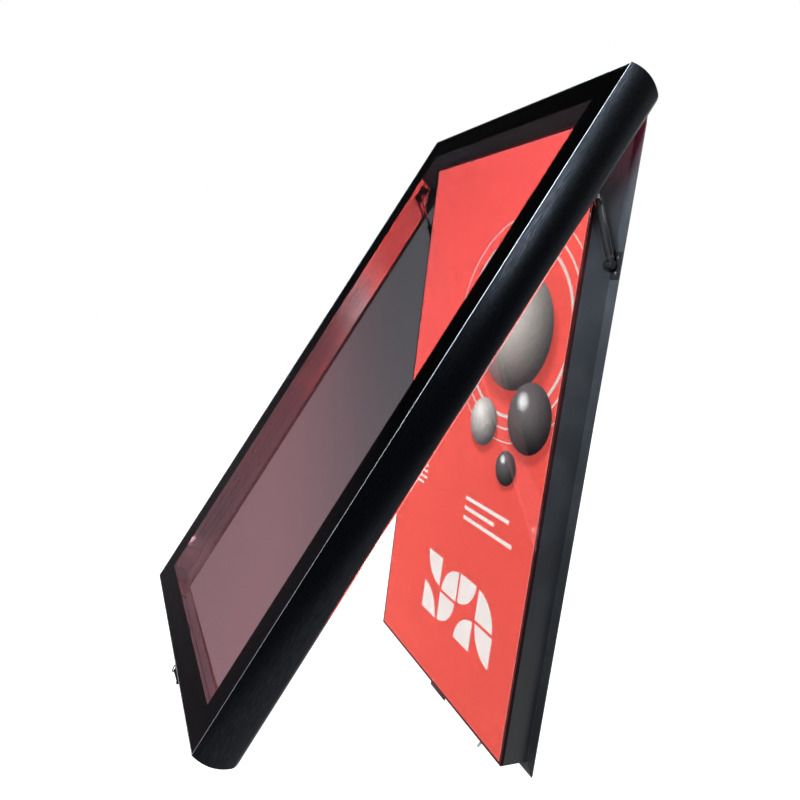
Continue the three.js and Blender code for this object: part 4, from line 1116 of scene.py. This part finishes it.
for side, sign in (("left", -1), ("right", 1)):
    foot = cabinet_point(sign * STRUT_PLACE, foot_y, foot_z)
    shape = turned(TUBE_PROFILE, foot, strut_axis)
    tube = piece(f"strut_tube_{side}", f"strut_tube_{side}", "black_gloss", "gloss_black", *shape)
    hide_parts(f"strut_cylinder_{side}")
    shape = turned(ROD_PROFILE, foot, strut_axis)
    body = f"strut_rod_{side}"
    rod = piece(f"strut_rod_{side}_polished", body, "bright_steel", "polished_rod", *shape)
    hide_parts(f"strut_rod_{side}")
    base = foot + strut_axis * (rod_end - RING_PLACE) * MM
    shape = turned(RING_PROFILE, base, strut_axis)
    piece(f"strut_lock_ring_{side}", body, "bright_steel", "screw_steel", *shape)
    for name, bevel in STRUT_BEVELS.items():
        dressed(f"strut_{name}_{side}", "gloss_black", bevel)
    plate_x = sign * (POSTER_WIDTH / 2 + FLANGE_WIDTH / 2 + FOOT_PLATE_SHIFT)
    plate_y = CABINET_DEPTH - WALL_GAP - FOOT_PLATE_METAL
    places = [
        (cabinet_point(plate_x, plate_y, foot_z + shift), (0, -1, 0), FOOT_SCREW_TURN + shift)
        for shift in (-FOOT_SCREW_REACH, FOOT_SCREW_REACH)
    ]
    screws(f"strut_foot_screws_{side}", "cabinet", places, STRUT_SCREW_RADIUS, "zinc")
    wall_face = HOOD_WIDTH / 2 - WALL_INSET - HEAD_PLATE_METAL
    places = []
    for share in HEAD_SCREW_SHARES:
        depth = STRUT_HEAD[0] - HEAD_FIELD_DEPTH * (share - 0.5)
        height = STRUT_HEAD[1] + HEAD_FIELD_HEIGHT * share + HEAD_FIELD_START
        places.append((hood_point(sign * wall_face, depth, height), hood_direction(-sign, 0, 0), share))
    screws(f"strut_head_screws_{side}", "hood", places, STRUT_SCREW_RADIUS)
    boss = hood_point(sign * (STRUT_PLACE - CAP_PLACE), *STRUT_HEAD)
    shape = turned(CAP_PROFILE, boss, hood_direction(-sign, 0, 0))
    piece(f"strut_eye_cap_{side}", body, "bright_steel", "screw_steel", *shape)

# CAD nodes that keep their shape

# With bevelled edges: finish, slot, bevel in millimetres, and the nodes' names
BEVELLED = (
    ("panel_coat", "powder_coat", 0.3, ("back_panel",)),
    ("zinc", "bright_steel", 0.3, ("wall_bracket_upper", "wall_bracket_lower")),
    ("hinge_beige", "bright_steel", 0.2, ("hinge_leaf_cabinet", "hinge_pin")),
    ("inner_pale", "bright_steel", 0.2, ("hinge_leaf_hood",)),
    ("zinc", "bright_steel", 0.2, ("lock_barrel", "lock_nut", "lock_core")),
    ("black_zinc", "bright_steel", 0.2, ("lock_cam",)),
    ("lever_black", "black_gloss", 0.2, ("lever_bracket", "pull_lever")),
    ("black_plastic", "black_plastic", 0.3, ("strike_bar", "cable_gland", "gland_nut")),
    ("grey_plastic", "grey_plastic", 0.15, ("drain_spout",)),
)
for look, slot, bevel, names in BEVELLED:
    for name in names:
        dressed(name, look, bevel)

# Unchanged in shape: the nodes' names and finishes
LED_BARS = 5
NODE_LOOKS = {
    "glass_pane": "tinted_glass",
    "glass_border": "border_print",
    "glazing_gasket": "seal_rubber",
    "cover_sheet": "clear_sheet",
    "poster_film": "poster_print",
    "diffuser_panel": "opal_acrylic",
    "led_driver": "satin_aluminium",
    "terminal_block": "grey_plastic",
    "led_wiring": "black_plastic",
    "driver_lead": "black_plastic",
    "mains_lead": "black_plastic",
    **{f"led_bar_{k + 1}": "led_board" for k in range(LED_BARS)},
    **{f"corner_key_{name}": "zinc" for name in CORNERS},
}
for name, look in NODE_LOOKS.items():
    mesh = frame["nodes"][name].data
    mesh.materials.clear()
    mesh.materials.append(looks[look])

# Studio: pale floor, white background, soft lamps

FLOOR_HEIGHT = -1.75
FLOOR_HALF = 12.0
FLOOR_GREY = (0.82, 0.82, 0.82, 1.0)
FLOOR_GLOW = 0.85
SKY, SKY_STRENGTH = (0.96, 0.97, 1.0, 1.0), 0.55
# Dark cards that only reflections see: corners as (x, y, z)
LOW = FLOOR_HEIGHT + 0.01
CARDS = {
    "left": [(-4.0, -5.0, 5.5), (-4.0, -0.2, 5.5), (-4.0, -0.2, LOW), (-4.0, -5.0, LOW)],
    "floor": [(-4.0, -5.0, LOW), (0.6, -5.0, LOW), (0.6, -0.55, LOW), (-4.0, -0.55, LOW)],
    "right": [(4.0, -3.0, LOW), (4.0, 6.0, LOW), (4.0, 6.0, 2.6), (4.0, -3.0, 2.6)],
    "right_floor": [(2.4, -3.0, LOW), (4.0, -3.0, LOW), (4.0, 6.0, LOW), (2.4, 6.0, LOW)],
}
# The cards are paler low down: shade at the first height and at the second
CARD_HEIGHTS = (-0.6, 1.0)
CARD_SHADES = {
    "left": (0.11, 0.02), "floor": (0.11, 0.02), "right": (0.2, 0.03), "right_floor": (0.2, 0.03)
}
CARD_BLUE = 1.1


def seen_rays(tree, *kinds):
    rays = node(tree, "ShaderNodeLightPath").outputs
    share = 0.0
    for kind in kinds:
        share = calc(tree, "ADD", rays[f"Is {kind} Ray"], share, clamp=True)
    return share


def make_floor():
    tree, shader = finish("floor", specular=0.0)
    shader.inputs["Base Color"].default_value = FLOOR_GREY
    shader.inputs["Roughness"].default_value = 1.0
    shader.inputs["Emission Color"].default_value = WHITE
    lift = calc(tree, "MULTIPLY", seen_rays(tree, "Camera"), FLOOR_GLOW)
    link(tree, lift, shader, "Emission Strength")
    white = node(tree, "ShaderNodeEmission", {"Color": WHITE, "Strength": 1.0})
    mix_surface(tree, seen_rays(tree, "Glossy", "Transmission"), shader, white)
    corners = [
        (x * FLOOR_HALF, y * FLOOR_HALF, FLOOR_HEIGHT) for x, y in ((-1, -1), (1, -1), (1, 1), (-1, 1))
    ]
    mesh = mesh_of("floor", corners, [(0, 1, 2, 3)])
    mesh.materials.append(looks["floor"])
    floor = placed("floor", mesh)
    floor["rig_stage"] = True


def make_world():
    world = bpy.data.worlds.new("studio")
    bpy.context.scene.world = world
    world.use_nodes = True
    tree = world.node_tree
    dim = tree.nodes["Background"]
    dim.inputs["Color"].default_value = SKY
    dim.inputs["Strength"].default_value = SKY_STRENGTH
    white = node(tree, "ShaderNodeBackground", {"Color": WHITE, "Strength": 1.0})
    seen = seen_rays(tree, "Camera", "Glossy", "Transmission")
    mix_surface(tree, seen, dim, white, "World Output")


def card_finish(name, shades):
    tree, shader = finish(name, specular=0.0)
    share = stretch(tree, axes(tree, object_place(tree))["Z"], CARD_HEIGHTS)
    low, high = ((shade, shade, CARD_BLUE * shade, 1.0) for shade in shades)
    link(tree, blend_colour(tree, share, low, high), shader, "Base Color")
    rays = node(tree, "ShaderNodeLightPath").outputs
    passed = calc(tree, "MINIMUM", rays["Transmission Depth"], 1.0)
    behind_pane = calc(tree, "SUBTRACT", passed, rays["Is Transmission Ray"], clamp=True)
    straight = calc(tree, "SUBTRACT", 1.0, rays["Glossy Depth"], clamp=True)
    unseen = calc(tree, "MAXIMUM", behind_pane, straight)
    mix_surface(tree, unseen, shader, node(tree, "ShaderNodeBsdfTransparent"))


def make_cards():
    """Glare is kept off the glass and the dark metal by cards, which the pane's inside doesn't see."""
    for key, corners in CARDS.items():
        name = f"card_{key}"
        card_finish(name, CARD_SHADES[key])
        mesh = mesh_of(name, corners, [(0, 1, 2, 3)])
        mesh.materials.append(looks[name])
        card = placed(name, mesh)
        for kind in ("camera", "diffuse", "shadow", "volume_scatter"):
            setattr(card, f"visible_{kind}", False)
        card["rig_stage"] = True


def lamp(name, place, target, width, height, power, tint=(1.0, 1.0, 1.0), unseen_by=()):
    light = bpy.data.lights.new(name, "AREA")
    light.shape = "RECTANGLE"
    light.size, light.size_y = width, height
    light.energy = power
    light.color = tint
    made = placed(name, light)
    made.location = place
    made.rotation_euler = (Vector(target) - Vector(place)).to_track_quat("-Z", "Y").to_euler()
    for kind in ("camera", "transmission", *unseen_by):
        setattr(made, f"visible_{kind}", False)


def make_camera():
    turn = Vector(CAMERA_TURN)
    world_to_camera = Matrix.Rotation(turn.length, 3, turn.normalized())
    right, down, ahead = world_to_camera
    pose = Matrix((right, -down, -ahead)).transposed().to_4x4()
    pose.translation = CAMERA_PLACE
    data = bpy.data.cameras.new("camera")
    data.sensor_width = SENSOR_WIDTH
    data.lens = FOCAL_PIXELS / IMAGE_SIDE * SENSOR_WIDTH
    data.shift_x = (IMAGE_SIDE / 2 - CENTRE_PIXEL[0]) / IMAGE_SIDE
    data.shift_y = (CENTRE_PIXEL[1] - IMAGE_SIDE / 2) / IMAGE_SIDE
    data.clip_start = 0.01
    camera = placed("camera", data)
    camera.matrix_world = pose
    bpy.context.scene.camera = camera


make_floor()
make_world()
# Each lamp: place, point it faces, width, height, watts, tint and the rays that miss it
COOL = (0.9, 0.96, 1.0)
WARM = (1.0, 0.95, 0.9)
RED = (1.0, 0.1, 0.2)
lamp("key", (1.15, 0.1, 0.74), (0.33, -0.1, 0.15), 0.2, 0.2, 1.7, COOL, ["diffuse"])
lamp("key_low", (1.25, -0.02, 0.36), (0.33, -0.2, -0.05), 0.25, 0.4, 4.2, COOL, ["diffuse"])
lamp("side", (0.56, -0.55, 0.2), (0.3, -0.03, 0.0), 0.2, 0.2, 32, COOL, ["glossy"])
lamp("spill", (0.335, -0.03, 0.165), (0.312, -0.0125, 0.155), 0.02, 0.1, 0.1, RED, ["glossy"])
lamp("inside", (0.0, -0.105, 0.193), (0.0, -0.02, 0.228), 0.58, 0.01, 0.2, WARM, ["glossy"])
lamp("corner", (-0.25, -0.6, -0.78), (-0.32, -0.61, -0.86), 0.02, 0.02, 0.05)
lamp("front", (0.5, -3.4, 1.4), (0.0, -0.3, -0.4), 2.0, 2.0, 90)
make_cards()
make_camera()
bpy.context.scene.view_settings.view_transform = "Standard"

low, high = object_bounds()
